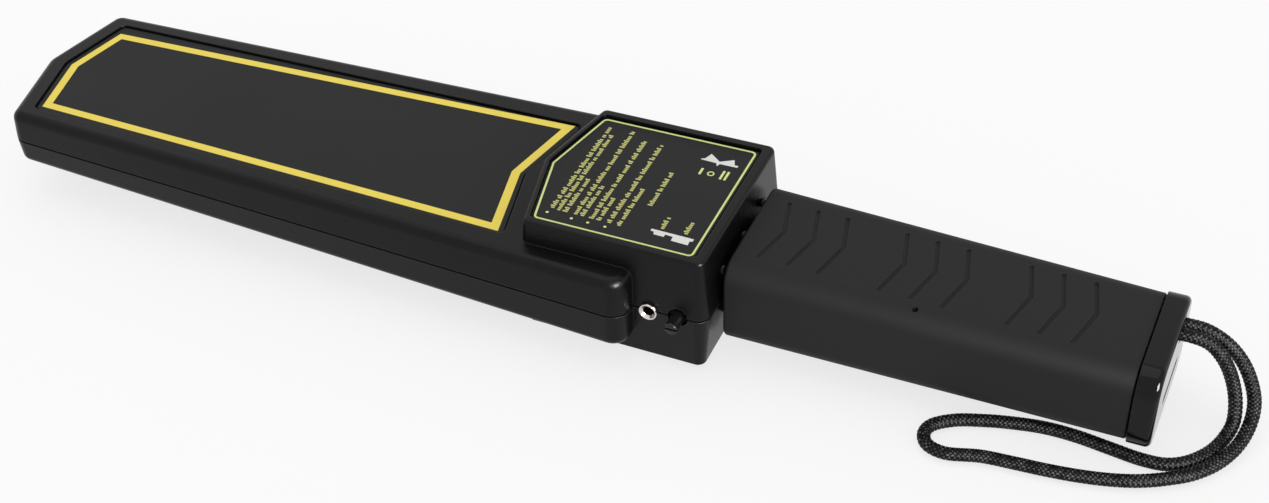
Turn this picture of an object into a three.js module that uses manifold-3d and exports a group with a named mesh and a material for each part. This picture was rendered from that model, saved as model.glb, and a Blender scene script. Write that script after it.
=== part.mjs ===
// Security metal detector wand: a flat scanning paddle, a raised console and a sleeved handle.
// Millimetres, +Z up. The wand lies on the flat underside of its console.
// The paddle's tip points to -X and the end of the handle to +X. Inside this file x runs from
// the tip, and the outermost group moves the origin half way along the wand.

import * as THREE from "three";
import { mergeVertices } from "three/addons/utils/BufferGeometryUtils.js";
import Module from "manifold-3d";

const wasm = await Module();
wasm.setup();

// Lengths along the wand
const scan_length = 206; // tip of the paddle to the point of the console
const console_length = 72; // point of the console to its rear wall
const paddle_overlap = 47.5; // how far the paddle runs on beside the console
const waist_gap = 1.5; // open slot between the console and the sleeve
const grip_length = 123.2;
const cap_seam = 0.4;
const cap_length = 6.9;

// Widths and heights of the case, heights above the resting surface
const paddle_width = 85; // across the rear end of the paddle
const paddle_side_taper = 6.7; // each side draws in by this towards the tip
const tip_depth = 8.2; // the tip's point ahead of its two corners
const paddle_standout = 8.2; // the paddle runs past each side of the console by this
const arrow_depth = 7.7; // the console's point ahead of its front corners
const case_height = 45;
const parting_height = 22.8;
const paddle_top = 36.6;
const paddle_tip_bottom = 15.3; // the paddle's underside falls from the tip to its rear end
const paddle_rear_bottom = 9.5;
const seam_tip_rise = 2.2; // the seam climbs by this from the paddle's rear end to the tip

// Corners, edges and draft of the case
const tip_point_radius = 8;
const tip_corner_radius = 5;
const paddle_rear_radius = 6.5;
const console_point_radius = 5;
const console_front_radius = 4;
const console_rear_radius = 4.5;
const paddle_edge_radius = 3.4;
const paddle_bottom_radius = 3;
const paddle_draft = 0.5;
const console_draft = 1.8;
const rim_radius = 0.9;
const belly_bevel = 3.4;

// Walls and fits
const wall = 2.2;
const parting_gap = 0.4;
const seat_gap = 0.3; // between a piece and what carries it
const cut_overrun = 2; // how far a cut runs past the face that it opens
const least_radius = 0.4;

// Labels and their recesses
const label_thickness = 0.4;
const scan_label_drop = 0.8; // from the paddle's top down to the label's face
const control_label_drop = 1.2;
const recess_tip_margin = 8.5;
const recess_tip_side_margin = 6.9;
const recess_rear_side_margin = 9.4;
const recess_console_gap = 5.5; // from the rear of the recess to the console's point
const recess_corner_radius = 2.5;
const rim_front = 2;
const rim_side = 3;
const rim_rear = 3.6;
const rim_corner_radius = 1.5;

// Standard battery and its compartment, which set the section of the handle's rear end
const battery_length = 46.4;
const battery_width = 26.5;
const battery_height = 17.5;
const battery_corner_radius = 2;
const battery_side_room = 4.35;
const battery_top_room = 0.85;
const core_wall = 1.8;
const sleeve_wall = 2.4;

// Handle
const grip_drop = 13.7; // underside of the sleeve's rear end below the middle of the neck
const grip_flare = 2.1; // each side of the sleeve widens by this towards the console
const grip_top_rise = 3.7;
const grip_bottom_rise = 1;
const grip_corner_radius = 7;
const sleeve_edge_radius = 0.9;
const core_end_inset = 0.3;
const shoulder_inset = 1; // how far the core's shoulder lies inside the sleeve's front end
const shoulder_thickness = 2.5;
const neck_width = 34;
const neck_height = 17;
const neck_drop = 1.55; // middle of the neck below the middle of the console's inside
const neck_corner_radius = 4;
const neck_wall = 2.5;
const flange_lip = 1.6;
const flange_thickness = 2.2;

// Chevron grooves on the sleeve
const chevron_groups = 3;
const chevrons_in_group = 3;
const chevron_front = 7.6;
const chevron_pitch = 9.6;
const chevron_group_pitch = 38.4;
const chevron_span = 29.2;
const chevron_point = 3.4;
const chevron_width = 1.5;
const chevron_depth = 0.6;

// End cap
const cap_overhang = 0.8; // the cap stands out round the sleeve
const cap_edge_radius = 1.8;
const cap_face = 2.6;
const plug_length = 7.5;
const plug_wall = 1.6;
const pull_slot_length = 20;
const pull_slot_width = 2.8;
const pull_slot_depth = 1.6;
const pull_slot_drop = 3; // below the middle of the neck

// Wrist cord
const cord_diameter = 4.2;
const cord_strand_gap = 0.5;
const cord_side = 8; // middle of the cord hole, from the wand's centre plane
const cord_rise = 10.4; // middle of the cord hole above the middle of the neck
const cord_hole_clearance = 0.4;
const knot_thickness = 3.6;
const knot_width = 10.5;
const knot_height = 5.6;
const knot_room = 0.5;
const cord_sides = 8;
const cord_steps = 76;

// Case screws, all alike
const screw_head_radius = 2.1;
const screw_head_height = 1.6;
const screw_radius = 1.15;
const screw_reach = 7; // above the parting line
const screw_seat = 2.6; // seat above the paddle's underside at the tip
const screw_hole_clearance = 0.3;
const boss_radius = 3.6;
const cross_length = 2.6;
const cross_width = 0.6;
const cross_depth = 0.8;
const tip_screw_x = 20;
const tip_screw_margin = 10.1; // from the side of the paddle
const ear_screw_setback = 15.5; // from the rear end of the paddle
const ear_screw_margin = 6.2;
const belly_screw_setback = 14; // from the point of the console
const belly_screw_margin = 12.3; // from the side of the console

// Charging jack, on the parting line of the near wall
const jack_from_rear = 19.2;
const jack_width = 9;
const jack_depth = 11;
const jack_height = 6.5;
const jack_barrel_radius = 2.7;
const jack_bore_radius = 1.75;
const jack_bore_depth = 9;
const ring_radius = 3.1;
const ring_thickness = 0.9;
const ring_bevel = 0.35;

// Sensitivity shaft and the potentiometer that it turns
const knob_from_rear = 9.5;
const knob_radius = 2.2;
const knob_standout = 5.9;
const knob_bevel = 0.4;
const knob_slot_width = 0.8;
const knob_slot_depth = 1.1;
const knob_opening_radius = 3.4;
const pot_width = 9.4;
const pot_depth = 4.6;
const pot_height = 6.5;
const pot_setback = 1.5; // from the inside of the wall to the potentiometer's face
const pot_collar_radius = 3.2;
const pot_collar_length = 1.2;
const running_clearance = 0.15;

// Rocker switch in the far wall, between the paddle's rear end and the console's corner
const bezel_end_margin = 1;
const bezel_height = 13;
const bezel_thickness = 1.3;
const bezel_corner_radius = 1.2;
const switch_wall = 1.1;
const rocker_end_margin = 3.1; // from the rocker to the end of the bezel
const rocker_height = 8.4;
const rocker_side_room = 0.3;
const rocker_end_room = 0.8;
const rocker_pivot_depth = 0.6; // pivot behind the bezel's face
const rocker_wing = 3.4; // above the pivot, at the ends
const rocker_dip = 2; // above the pivot, in the middle
const rocker_root = 1.2; // below the pivot, at the ends
const rocker_heel = 2.4; // below the pivot, in the middle
const switch_pocket_depth = 5;
const switch_depth = 12;

// Indicator lamps in the rear wall
const lamp_radius = 1.6;
const lamp_flange_radius = 1.95;
const lamp_flange_thickness = 1;
const lamp_length = 7;
const lamp_standout = 1.2;
const lamp_spacing = 18;
const lamp_clearance = 0.2;

// Circuit board and what stands on it
const board_thickness = 1.6;
const board_front_setback = 20; // from the point of the console
const board_rear_setback = 7; // from the rear wall
const board_near_room = 7.3; // from the side of the console
const board_switch_room = 0.8;
const board_corner_radius = 1.5;
const board_post_radius = 3;
const board_post_inset = 4.5;
const chip_length = 10.2;
const chip_width = 5.3;
const chip_height = 1.7;
const chip_setback = 12; // from the front of the board
const chip_side = -14;
const capacitor_radius = 3.15;
const capacitor_height = 7.7;
const capacitor_bevel = 0.5;
const capacitor_setback = 31;
const capacitor_side = 2;

// Sounder on the floor of the belly, over its grille
const sounder_radius = 14;
const sounder_height = 8.5;
const sounder_lip = 1.2;
const sounder_step = 3;
const sounder_setback = 40; // from the point of the console
const grille_hole_radius = 1.1;
const grille_ring_radius = 5.5;
const grille_ring_holes = 6;

// Vibration motor with its eccentric weight
const motor_radius = 3.5;
const motor_length = 12.5;
const motor_setback = 10; // from the front of the board
const motor_side_setback = 7.1; // from the far edge of the board
const motor_shaft_radius = 0.6;
const weight_radius = 3.2;
const weight_hub_radius = 1.5;
const weight_thickness = 3.6;

// Coils in the paddle
const former_thickness = 2.5;
const former_margin = 1.2;
const former_rear_setback = 8; // from the point of the console
const former_corner_radius = 4;
const former_window_margin = 13;
const coil_height = 5;
const coil_thickness = 4;
const coil_front = 30;
const coil_rear_setback = 12; // from the point of the console
const coil_margin = 5;
const coil_corner_radius = 9;
const inner_coil_front_room = 22;
const inner_coil_rear_room = 34;
const inner_coil_side_room = 13;

// Leads
const lead_radius = 1.2;
const lead_side = 6;
const lead_run_on = 6; // how far a lead lies on the board
const lead_sides = 8;
const lead_steps = 14;

// Battery fittings
const terminal_radius = 3.4;
const terminal_length = 2.1;
const terminal_spacing = 12.7;
const snap_length = 24;
const snap_height = 13;
const snap_thickness = 3.4;
const snap_corner_radius = 2.5;
const foam_thickness = 3;
const foam_side_room = 1;

// How finely round things are cut
const corner_steps = 4;
const edge_steps = 3;
const fine_segments = 24;
const plain_segments = 16;
const hole_segments = 12;
const knot_segments = 12;
const knot_rings = 8;
const fillet_room_share = 0.45;

// Stations and levels that follow from the sizes
const console_front = scan_length;
const console_rear = console_front + console_length;
const paddle_rear = console_front + paddle_overlap;
const grip_front = console_rear + waist_gap;
const grip_rear = grip_front + grip_length;
const cap_front = grip_rear + cap_seam;
const overall_length = cap_front + cap_length;
const scan_recess_floor = paddle_top - scan_label_drop - label_thickness - seat_gap;
const control_recess_floor = case_height - control_label_drop - label_thickness - seat_gap;
const paddle_floor = paddle_tip_bottom + wall;
const paddle_ceiling = scan_recess_floor - wall;
const console_ceiling = control_recess_floor - wall;
const seam_low = parting_height - parting_gap / 2;
const seam_high = parting_height + parting_gap / 2;
const board_top = parting_height - Math.max(jack_height, pot_height) / 2 - seat_gap;
const board_bottom = board_top - board_thickness;
const board_front = console_front + board_front_setback;
const board_rear = console_rear - board_rear_setback;
const neck_middle = (wall + console_ceiling) / 2 - neck_drop;
const grip_rear_bottom = neck_middle - grip_drop;
const cord_height = neck_middle + cord_rise;
const pull_slot_height = neck_middle - pull_slot_drop;
const tube_rim = core_wall + seat_gap + sleeve_wall; // from the bore to the outside of the sleeve
const jack_x = console_rear - jack_from_rear;
const knob_x = console_rear - knob_from_rear;
const switch_flat = console_rear - console_rear_radius - paddle_rear;
const switch_x = paddle_rear + switch_flat / 2;
const bezel_length = switch_flat - 2 * bezel_end_margin;
const rocker_length = bezel_length - 2 * rocker_end_margin;
const side_wall = paddle_width / 2 - paddle_standout;
const bezel_back = side_wall + seat_gap;
const bezel_front = bezel_back + bezel_thickness;
const board_far_edge = bezel_front - switch_depth - board_switch_room;
const board_near_edge = side_wall - board_near_room;
const motor_side = board_far_edge - motor_side_setback;

// Pieces of geometry

// A closed triangle mesh as a solid that can be joined and cut
function solid(geometry) {
  const bare = geometry.clone();
  bare.deleteAttribute("normal");
  bare.deleteAttribute("uv");
  const merged = mergeVertices(bare);
  const corners = merged.index.array;
  const kept = [];
  for (let i = 0; i < corners.length; i += 3) {
    const [a, b, c] = corners.slice(i, i + 3);
    if (a !== b && b !== c && c !== a) {
      kept.push(a, b, c);
    }
  }
  const vertProperties = new Float32Array(merged.attributes.position.array);
  const triVerts = new Uint32Array(kept);
  return new wasm.Manifold(new wasm.Mesh({ numProp: 3, vertProperties, triVerts }));
}

function geometryOf(body) {
  const { vertProperties, triVerts } = body.getMesh();
  const geometry = new THREE.BufferGeometry();
  geometry.setAttribute("position", new THREE.BufferAttribute(vertProperties, 3));
  geometry.setIndex(new THREE.BufferAttribute(triVerts, 1));
  return geometry;
}

function join(...bodies) {
  return bodies.reduce((whole, body) => whole.add(body));
}

function cut(body, ...tools) {
  return tools.reduce((rest, tool) => rest.subtract(tool), body);
}

// Moves every side of an outline inwards; an outline is a list of corners, anticlockwise
function inset(corners, distance) {
  const count = corners.length;
  const sides = corners.map((corner, i) => {
    const next = corners[(i + 1) % count];
    const along = new THREE.Vector2(next.x - corner.x, next.y - corner.y).normalize();
    const inward = new THREE.Vector2(-along.y, along.x);
    const start = new THREE.Vector2(corner.x, corner.y).addScaledVector(inward, distance);
    return { start, along };
  });
  return corners.map((corner, i) => {
    const before = sides[(i + count - 1) % count];
    const after = sides[i];
    const turn = before.along.cross(after.along);
    const reach = after.start.clone().sub(before.start).cross(after.along) / turn;
    const place = before.start.clone().addScaledVector(before.along, reach);
    const radius = corner.r - Math.sign(turn) * distance;
    return { x: place.x, y: place.y, r: Math.max(radius, least_radius) };
  });
}

// The points of an outline, with an arc at every corner
function rounded(corners) {
  const count = corners.length;
  const points = [];
  corners.forEach((corner, i) => {
    const here = new THREE.Vector2(corner.x, corner.y);
    const before = corners[(i + count - 1) % count];
    const after = corners[(i + 1) % count];
    const back = new THREE.Vector2(before.x, before.y).sub(here);
    const ahead = new THREE.Vector2(after.x, after.y).sub(here);
    const room = Math.min(back.length(), ahead.length()) * fillet_room_share;
    back.normalize();
    ahead.normalize();
    const half_angle = Math.acos(back.dot(ahead)) / 2;
    const radius = Math.min(corner.r, room * Math.tan(half_angle));
    const middle = back.clone().add(ahead).normalize();
    const centre = here.clone().addScaledVector(middle, radius / Math.sin(half_angle));
    const first = here.clone().addScaledVector(back, radius / Math.tan(half_angle)).sub(centre);
    const last = here.clone().addScaledVector(ahead, radius / Math.tan(half_angle)).sub(centre);
    const sweep = Math.atan2(first.cross(last), first.dot(last));
    for (let step = 0; step <= corner_steps; step += 1) {
      const turned = first.clone().rotateAround(new THREE.Vector2(), (sweep * step) / corner_steps);
      points.push(turned.add(centre));
    }
  });
  return points;
}

function noLean() {
  return 0;
}

// An outline at a height; the lean shifts the height along X
function ring(corners, distance, at, lean = noLean) {
  return { at, lean, points: rounded(inset(corners, distance)) };
}

// A closed solid through a stack of outlines with equal numbers of points
function stack(rings) {
  const size = rings[0].points.length;
  const positions = rings.flatMap(({ at, lean, points }) => {
    return points.flatMap((p) => [p.x, p.y, at + lean(p.x)]);
  });
  const index = [];
  for (let level = 0; level < rings.length - 1; level += 1) {
    for (let i = 0; i < size; i += 1) {
      const a = level * size + i;
      const b = level * size + ((i + 1) % size);
      index.push(a, b, b + size, a, b + size, a + size);
    }
  }
  const top = (rings.length - 1) * size;
  for (const [a, b, c] of THREE.ShapeUtils.triangulateShape(rings[0].points, [])) {
    index.push(c, b, a);
  }
  for (const [a, b, c] of THREE.ShapeUtils.triangulateShape(rings.at(-1).points, [])) {
    index.push(top + a, top + b, top + c);
  }
  const geometry = new THREE.BufferGeometry();
  geometry.setAttribute("position", new THREE.Float32BufferAttribute(positions, 3));
  geometry.setIndex(index);
  return solid(geometry);
}

// Turns a stack so that its height runs along X, its x along Y and its y along Z
function lengthwise(body) {
  const turned = geometryOf(body);
  const [ux, uy, uz] = [new THREE.Vector3(0, 1, 0), new THREE.Vector3(0, 0, 1), new THREE.Vector3(1, 0, 0)];
  turned.applyMatrix4(new THREE.Matrix4().makeBasis(ux, uy, uz));
  return solid(turned);
}

// A plate of one outline between two heights, with windows through it
function plate(points, low, high, windows = []) {
  const shape = new THREE.Shape(points);
  shape.holes = windows.map((window) => new THREE.Path(window));
  const geometry = new THREE.ExtrudeGeometry(shape, { depth: high - low, bevelEnabled: false });
  geometry.translate(0, 0, low);
  return solid(geometry);
}

function box(x0, x1, y0, y1, z0, z1) {
  const geometry = new THREE.BoxGeometry(x1 - x0, y1 - y0, z1 - z0);
  geometry.translate((x0 + x1) / 2, (y0 + y1) / 2, (z0 + z1) / 2);
  return solid(geometry);
}

// A turned piece: its profile is a list of [radius, height] from the lower end up
function turned(profile, segments) {
  const points = profile.map(([radius, height]) => new THREE.Vector2(radius, height));
  return new THREE.LatheGeometry(points, segments);
}

function upright(geometry, x, y, z) {
  return solid(geometry.rotateX(Math.PI / 2).translate(x, y, z));
}

function alongX(geometry, x, y, z) {
  return solid(geometry.rotateZ(-Math.PI / 2).translate(x, y, z));
}

// Points the profile's upper end towards -Y
function towardsNear(geometry, x, y, z) {
  return solid(geometry.rotateX(Math.PI).translate(x, y, z));
}

function rod(radius, length, segments = plain_segments) {
  return turned([[0, 0], [radius, 0], [radius, length], [0, length]], segments);
}

function rectangle(half_x, low, high, radius) {
  return [
    { x: -half_x, y: low, r: radius },
    { x: half_x, y: low, r: radius },
    { x: half_x, y: high, r: radius },
    { x: -half_x, y: high, r: radius },
  ];
}

function moved(corners, x, y) {
  return corners.map((corner) => ({ x: corner.x + x, y: corner.y + y, r: corner.r }));
}

// A round bar swept along a smooth line
function swept(points, radius, sides, steps) {
  const line = new THREE.CatmullRomCurve3(points.map((p) => new THREE.Vector3(...p)));
  const section = new THREE.Shape();
  for (let i = 0; i < sides; i += 1) {
    const angle = (2 * Math.PI * i) / sides;
    const [u, v] = [radius * Math.cos(angle), radius * Math.sin(angle)];
    if (i === 0) {
      section.moveTo(u, v);
    } else {
      section.lineTo(u, v);
    }
  }
  section.closePath();
  return solid(new THREE.ExtrudeGeometry(section, { steps, extrudePath: line }));
}

// Outlines

function paddleHalf(x) {
  const run = (x - tip_depth) / (paddle_rear - tip_depth);
  return paddle_width / 2 - paddle_side_taper * (1 - run);
}

const paddle_corners = [
  { x: 0, y: 0, r: tip_point_radius },
  { x: tip_depth, y: -paddleHalf(tip_depth), r: tip_corner_radius },
  { x: paddle_rear, y: -paddleHalf(paddle_rear), r: paddle_rear_radius },
  { x: paddle_rear, y: paddleHalf(paddle_rear), r: paddle_rear_radius },
  { x: tip_depth, y: paddleHalf(tip_depth), r: tip_corner_radius },
];

const console_corners = [
  { x: console_front, y: 0, r: console_point_radius },
  { x: console_front + arrow_depth, y: -side_wall, r: console_front_radius },
  { x: console_rear, y: -side_wall, r: console_rear_radius },
  { x: console_rear, y: side_wall, r: console_rear_radius },
  { x: console_front + arrow_depth, y: side_wall, r: console_front_radius },
];

// How far the console's wall has drawn in at a height, because of its draft
function consoleDraft(height) {
  const span = height > parting_height ? case_height - parting_height : parting_height;
  return (console_draft * Math.abs(height - parting_height)) / span;
}

const arrow_slope = arrow_depth / side_wall;
const tip_slope = tip_depth / paddleHalf(tip_depth);

function scanRecessCorners() {
  const rear = console_front - recess_console_gap;
  const rear_half = paddleHalf(rear) - recess_rear_side_margin;
  const tip_half = paddleHalf(recess_tip_margin + tip_depth) - recess_tip_side_margin;
  return [
    { x: recess_tip_margin, y: 0, r: tip_point_radius },
    { x: recess_tip_margin + tip_slope * tip_half, y: -tip_half, r: recess_corner_radius },
    { x: rear + arrow_slope * rear_half, y: -rear_half, r: recess_corner_radius },
    { x: rear, y: 0, r: console_point_radius },
    { x: rear + arrow_slope * rear_half, y: rear_half, r: recess_corner_radius },
    { x: recess_tip_margin + tip_slope * tip_half, y: tip_half, r: recess_corner_radius },
  ];
}

function controlRecessCorners() {
  const half = side_wall - console_draft - rim_side;
  const point = console_front + console_draft + rim_front;
  const rear = console_rear - console_draft - rim_rear;
  return [
    { x: point, y: 0, r: console_point_radius },
    { x: point + arrow_slope * half, y: -half, r: rim_corner_radius },
    { x: rear, y: -half, r: rim_corner_radius },
    { x: rear, y: half, r: rim_corner_radius },
    { x: point + arrow_slope * half, y: half, r: rim_corner_radius },
  ];
}

// The handle's section at x, as corners in Y and Z; distance moves it inwards
function gripSection(x, distance) {
  const run = (grip_rear - x) / grip_length;
  const rear_half = battery_width / 2 + battery_side_room + tube_rim;
  const rear_height = battery_height + 2 * (battery_top_room + tube_rim);
  const half = rear_half + grip_flare * run;
  const low = grip_rear_bottom + grip_bottom_rise * run;
  const high = grip_rear_bottom + rear_height + grip_top_rise * run;
  return inset(rectangle(half, low, high, grip_corner_radius), distance);
}

function gripRing(x, distance) {
  return ring(gripSection(x, distance), 0, x);
}

function neckSection(distance) {
  const low = neck_middle - neck_height / 2;
  return inset(rectangle(neck_width / 2, low, low + neck_height, neck_corner_radius), distance);
}

function neckRing(x, distance) {
  return ring(neckSection(distance), 0, x);
}

// Case

const floor_slope = (paddle_rear_bottom - paddle_tip_bottom) / paddle_rear;

// The paddle's underside and floor, against their height at the tip
function floorLean(x) {
  return floor_slope * x;
}

// The seam of the paddle, against its height beside the console
function seamLean(x) {
  return seam_tip_rise * (1 - x / paddle_rear);
}

function paddleSolid() {
  const rings = [];
  for (let step = 0; step <= edge_steps; step += 1) {
    const angle = (Math.PI / 2) * (step / edge_steps);
    const rise = paddle_bottom_radius * (1 - Math.cos(angle));
    const draw = paddle_bottom_radius * (1 - Math.sin(angle));
    rings.push(ring(paddle_corners, paddle_draft + draw, paddle_tip_bottom + rise, floorLean));
  }
  rings.push(ring(paddle_corners, 0, parting_height, seamLean));
  for (let step = 0; step <= edge_steps; step += 1) {
    const angle = (Math.PI / 2) * (step / edge_steps);
    const fall = paddle_edge_radius * (1 - Math.sin(angle));
    const draw = paddle_edge_radius * (1 - Math.cos(angle));
    rings.push(ring(paddle_corners, paddle_draft + draw, paddle_top - fall));
  }
  return stack(rings);
}

function consoleSolid() {
  const rings = [
    ring(console_corners, console_draft + belly_bevel, 0),
    ring(console_corners, consoleDraft(belly_bevel), belly_bevel),
    ring(console_corners, 0, parting_height),
  ];
  for (let step = 0; step <= edge_steps; step += 1) {
    const angle = (Math.PI / 2) * (step / edge_steps);
    const fall = rim_radius * (1 - Math.sin(angle));
    const draw = rim_radius * (1 - Math.cos(angle));
    rings.push(ring(console_corners, console_draft + draw, case_height - fall));
  }
  return stack(rings);
}

function caseHollow() {
  const paddle_inset = wall + paddle_draft;
  const bevel_top = wall + belly_bevel;
  return join(
    stack([
      ring(paddle_corners, paddle_inset, paddle_floor, floorLean),
      ring(paddle_corners, paddle_inset, paddle_ceiling),
    ]),
    stack([
      ring(console_corners, wall + console_draft + belly_bevel, wall),
      ring(console_corners, wall + consoleDraft(bevel_top), bevel_top),
      ring(console_corners, wall, parting_height),
      ring(console_corners, wall + consoleDraft(console_ceiling), console_ceiling),
    ]),
  );
}

const tip_screw_y = paddleHalf(tip_screw_x) - tip_screw_margin;
const ear_screw_x = paddle_rear - ear_screw_setback;
const ear_screw_y = paddleHalf(ear_screw_x) - ear_screw_margin;
const belly_screw_x = console_front + belly_screw_setback;
const belly_screw_y = side_wall - belly_screw_margin;
const screw_places = [
  [tip_screw_x, tip_screw_y],
  [tip_screw_x, -tip_screw_y],
  [belly_screw_x, belly_screw_y],
  [belly_screw_x, -belly_screw_y],
  [ear_screw_x, ear_screw_y],
  [ear_screw_x, -ear_screw_y],
];
const screw_seat_height = paddle_tip_bottom + screw_seat;
const screw_tip_height = parting_height + screw_reach;

const board_posts = [];
for (const x of [board_front + board_post_inset, board_rear - board_post_inset]) {
  board_posts.push([x, board_far_edge - board_post_inset]);
  board_posts.push([x, board_post_inset - board_near_edge]);
}

function isUnderConsole(x) {
  return x > console_front && x < board_front;
}

// The bosses reach from the floor of the case to its ceiling
function screwBosses() {
  return screw_places.map(([x, y]) => {
    const low = isUnderConsole(x) ? wall / 2 : paddle_floor + floorLean(x) - wall / 2;
    const high = (isUnderConsole(x) ? console_ceiling : paddle_ceiling) + wall / 2;
    return upright(rod(boss_radius, high - low), x, y, low);
  });
}

function screwCuts() {
  const head_depth = screw_seat_height + cut_overrun;
  return screw_places.flatMap(([x, y]) => [
    upright(rod(screw_head_radius + screw_hole_clearance, head_depth), x, y, -cut_overrun),
    upright(rod(screw_radius + screw_hole_clearance, screw_tip_height), x, y, screw_hole_clearance),
  ]);
}

// Openings in the case: jack, sensitivity shaft, switch and the handle's neck
function caseOpenings() {
  const inner = side_wall - wall;
  const through = wall + 2 * cut_overrun;
  const hole = (radius, x) =>
    towardsNear(rod(radius, through, fine_segments), x, -inner + cut_overrun, parting_height);
  const body_half = rocker_length / 2 + rocker_end_room + switch_wall + seat_gap;
  const body_rise = rocker_height / 2 + rocker_side_room + switch_wall + seat_gap;
  const neck = stack([
    neckRing(console_rear - wall - cut_overrun, -seat_gap),
    neckRing(console_rear + cut_overrun, -seat_gap),
  ]);
  return [
    hole(jack_barrel_radius + seat_gap, jack_x),
    hole(knob_opening_radius, knob_x),
    box(
      switch_x - body_half, switch_x + body_half,
      inner - cut_overrun, side_wall + cut_overrun,
      parting_height - body_rise, parting_height + body_rise,
    ),
    lengthwise(neck),
  ];
}

const lamp_height = neck_middle + neck_height / 2 + flange_lip + seat_gap + lamp_flange_radius;
const lamp_wall_face = console_rear - consoleDraft(lamp_height);

function lampPlaces() {
  return [-lamp_spacing, 0, lamp_spacing];
}

const sounder_x = console_front + sounder_setback;

function grilleCuts() {
  const places = [[0, 0]];
  for (let i = 0; i < grille_ring_holes; i += 1) {
    const angle = (2 * Math.PI * i) / grille_ring_holes;
    places.push([grille_ring_radius * Math.cos(angle), grille_ring_radius * Math.sin(angle)]);
  }
  const depth = wall + 2 * cut_overrun;
  return places.map(([x, y]) => {
    return upright(rod(grille_hole_radius, depth, hole_segments), sounder_x + x, y, -cut_overrun);
  });
}

// What a shell leaves free on the other side of its seam, out to a height clear of the case
function beyondSeam(seam, clear) {
  const points = [
    [-cut_overrun, seam + seamLean(-cut_overrun)],
    [paddle_rear, seam],
    [grip_rear, seam],
    [grip_rear, clear],
    [-cut_overrun, clear],
  ];
  const shape = new THREE.Shape(points.map(([x, height]) => new THREE.Vector2(x, height)));
  const settings = { depth: 2 * paddle_width, bevelEnabled: false };
  const block = new THREE.ExtrudeGeometry(shape, settings);
  return solid(block.rotateX(Math.PI / 2).translate(0, paddle_width, 0));
}

function upperShell() {
  const recesses = [
    plate(rounded(scanRecessCorners()), scan_recess_floor, paddle_top + cut_overrun),
    plate(rounded(controlRecessCorners()), control_recess_floor, case_height + cut_overrun),
  ];
  const lamp_cuts = lampPlaces().map((y) => {
    const depth = wall + 2 * cut_overrun;
    const start = lamp_wall_face - wall - cut_overrun;
    return alongX(rod(lamp_radius + lamp_clearance, depth), start, y, lamp_height);
  });
  const below = beyondSeam(seam_high, -cut_overrun);
  const outer = cut(join(paddleSolid(), consoleSolid()), caseHollow());
  const bossed = join(outer, ...screwBosses());
  return cut(bossed, ...screwCuts(), ...caseOpenings(), ...recesses, ...lamp_cuts, below);
}

function lowerShell() {
  const posts = board_posts.map(([x, y]) => {
    return upright(rod(board_post_radius, board_bottom - seat_gap - wall / 2), x, y, wall / 2);
  });
  const above = beyondSeam(seam_low, case_height + cut_overrun);
  const outer = cut(join(paddleSolid(), consoleSolid()), caseHollow());
  const bossed = join(outer, ...screwBosses(), ...posts);
  return cut(bossed, ...screwCuts(), ...caseOpenings(), ...grilleCuts(), above);
}

function label(corners, floor) {
  const low = floor + seat_gap;
  return plate(rounded(inset(corners, seat_gap)), low, low + label_thickness);
}

function caseScrew(x, y) {
  const seat = screw_seat_height - seat_gap;
  const low = seat - screw_head_height;
  const profile = [
    [0, low], [screw_head_radius, low], [screw_head_radius, seat],
    [screw_radius, seat], [screw_radius, screw_tip_height - screw_radius],
    [0, screw_tip_height],
  ];
  const body = upright(turned(profile, plain_segments), x, y, 0);
  const arm = [-cross_length / 2, cross_length / 2];
  const edge = [-cross_width / 2, cross_width / 2];
  const depth = [low - cut_overrun, low + cross_depth];
  const [arm_x, edge_x] = [arm.map((v) => v + x), edge.map((v) => v + x)];
  const [arm_y, edge_y] = [arm.map((v) => v + y), edge.map((v) => v + y)];
  return cut(body, box(...arm_x, ...edge_y, ...depth), box(...edge_x, ...arm_y, ...depth));
}

// Handle

function handleCore() {
  const draft = consoleDraft(neck_middle - neck_height / 2 - flange_lip);
  const flange_rear = console_rear - draft - wall - seat_gap;
  const flange_front = flange_rear - flange_thickness;
  const shoulder = grip_front + shoulder_inset;
  const end = grip_rear - core_end_inset;
  const outside = sleeve_wall + seat_gap;
  const bore = outside + core_wall;
  const bore_front = shoulder + shoulder_thickness;
  const body = stack([
    neckRing(flange_front, -flange_lip),
    neckRing(flange_rear, -flange_lip),
    neckRing(flange_rear, 0),
    neckRing(shoulder, 0),
    gripRing(shoulder, outside),
    gripRing(end, outside),
  ]);
  const hollow = stack([
    neckRing(flange_front - cut_overrun, neck_wall),
    neckRing(bore_front, neck_wall),
    gripRing(bore_front, bore),
    gripRing(end + cut_overrun, bore),
  ]);
  return lengthwise(cut(body, hollow));
}

function gripSleeve() {
  const edge = sleeve_edge_radius;
  const middle = edge * (1 - Math.SQRT1_2);
  const body = stack([
    gripRing(grip_front, edge),
    gripRing(grip_front + middle, middle),
    gripRing(grip_front + edge, 0),
    gripRing(grip_rear, 0),
  ]);
  const hollow = stack([
    gripRing(grip_front - cut_overrun, sleeve_wall),
    gripRing(grip_rear + cut_overrun, sleeve_wall),
  ]);
  const grooves = [];
  for (let i = 0; i < chevron_groups * chevrons_in_group; i += 1) {
    const group = Math.floor(i / chevrons_in_group);
    const place = i % chevrons_in_group;
    const setback = chevron_front + group * chevron_group_pitch + place * chevron_pitch;
    grooves.push(chevronGroove(grip_front + setback));
  }
  return cut(lengthwise(cut(body, hollow)), ...grooves);
}

function chevronGroove(x) {
  const half = chevron_width / 2;
  const reach = chevron_span / 2;
  const top = gripSection(x + chevron_point / 2, 0)[2].y;
  const points = [
    [x - half, -reach],
    [x + half, -reach],
    [x + chevron_point + half, 0],
    [x + half, reach],
    [x - half, reach],
    [x + chevron_point - half, 0],
  ].map(([px, py]) => new THREE.Vector2(px, py));
  return plate(points, top - chevron_depth, top + cut_overrun);
}

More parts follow.
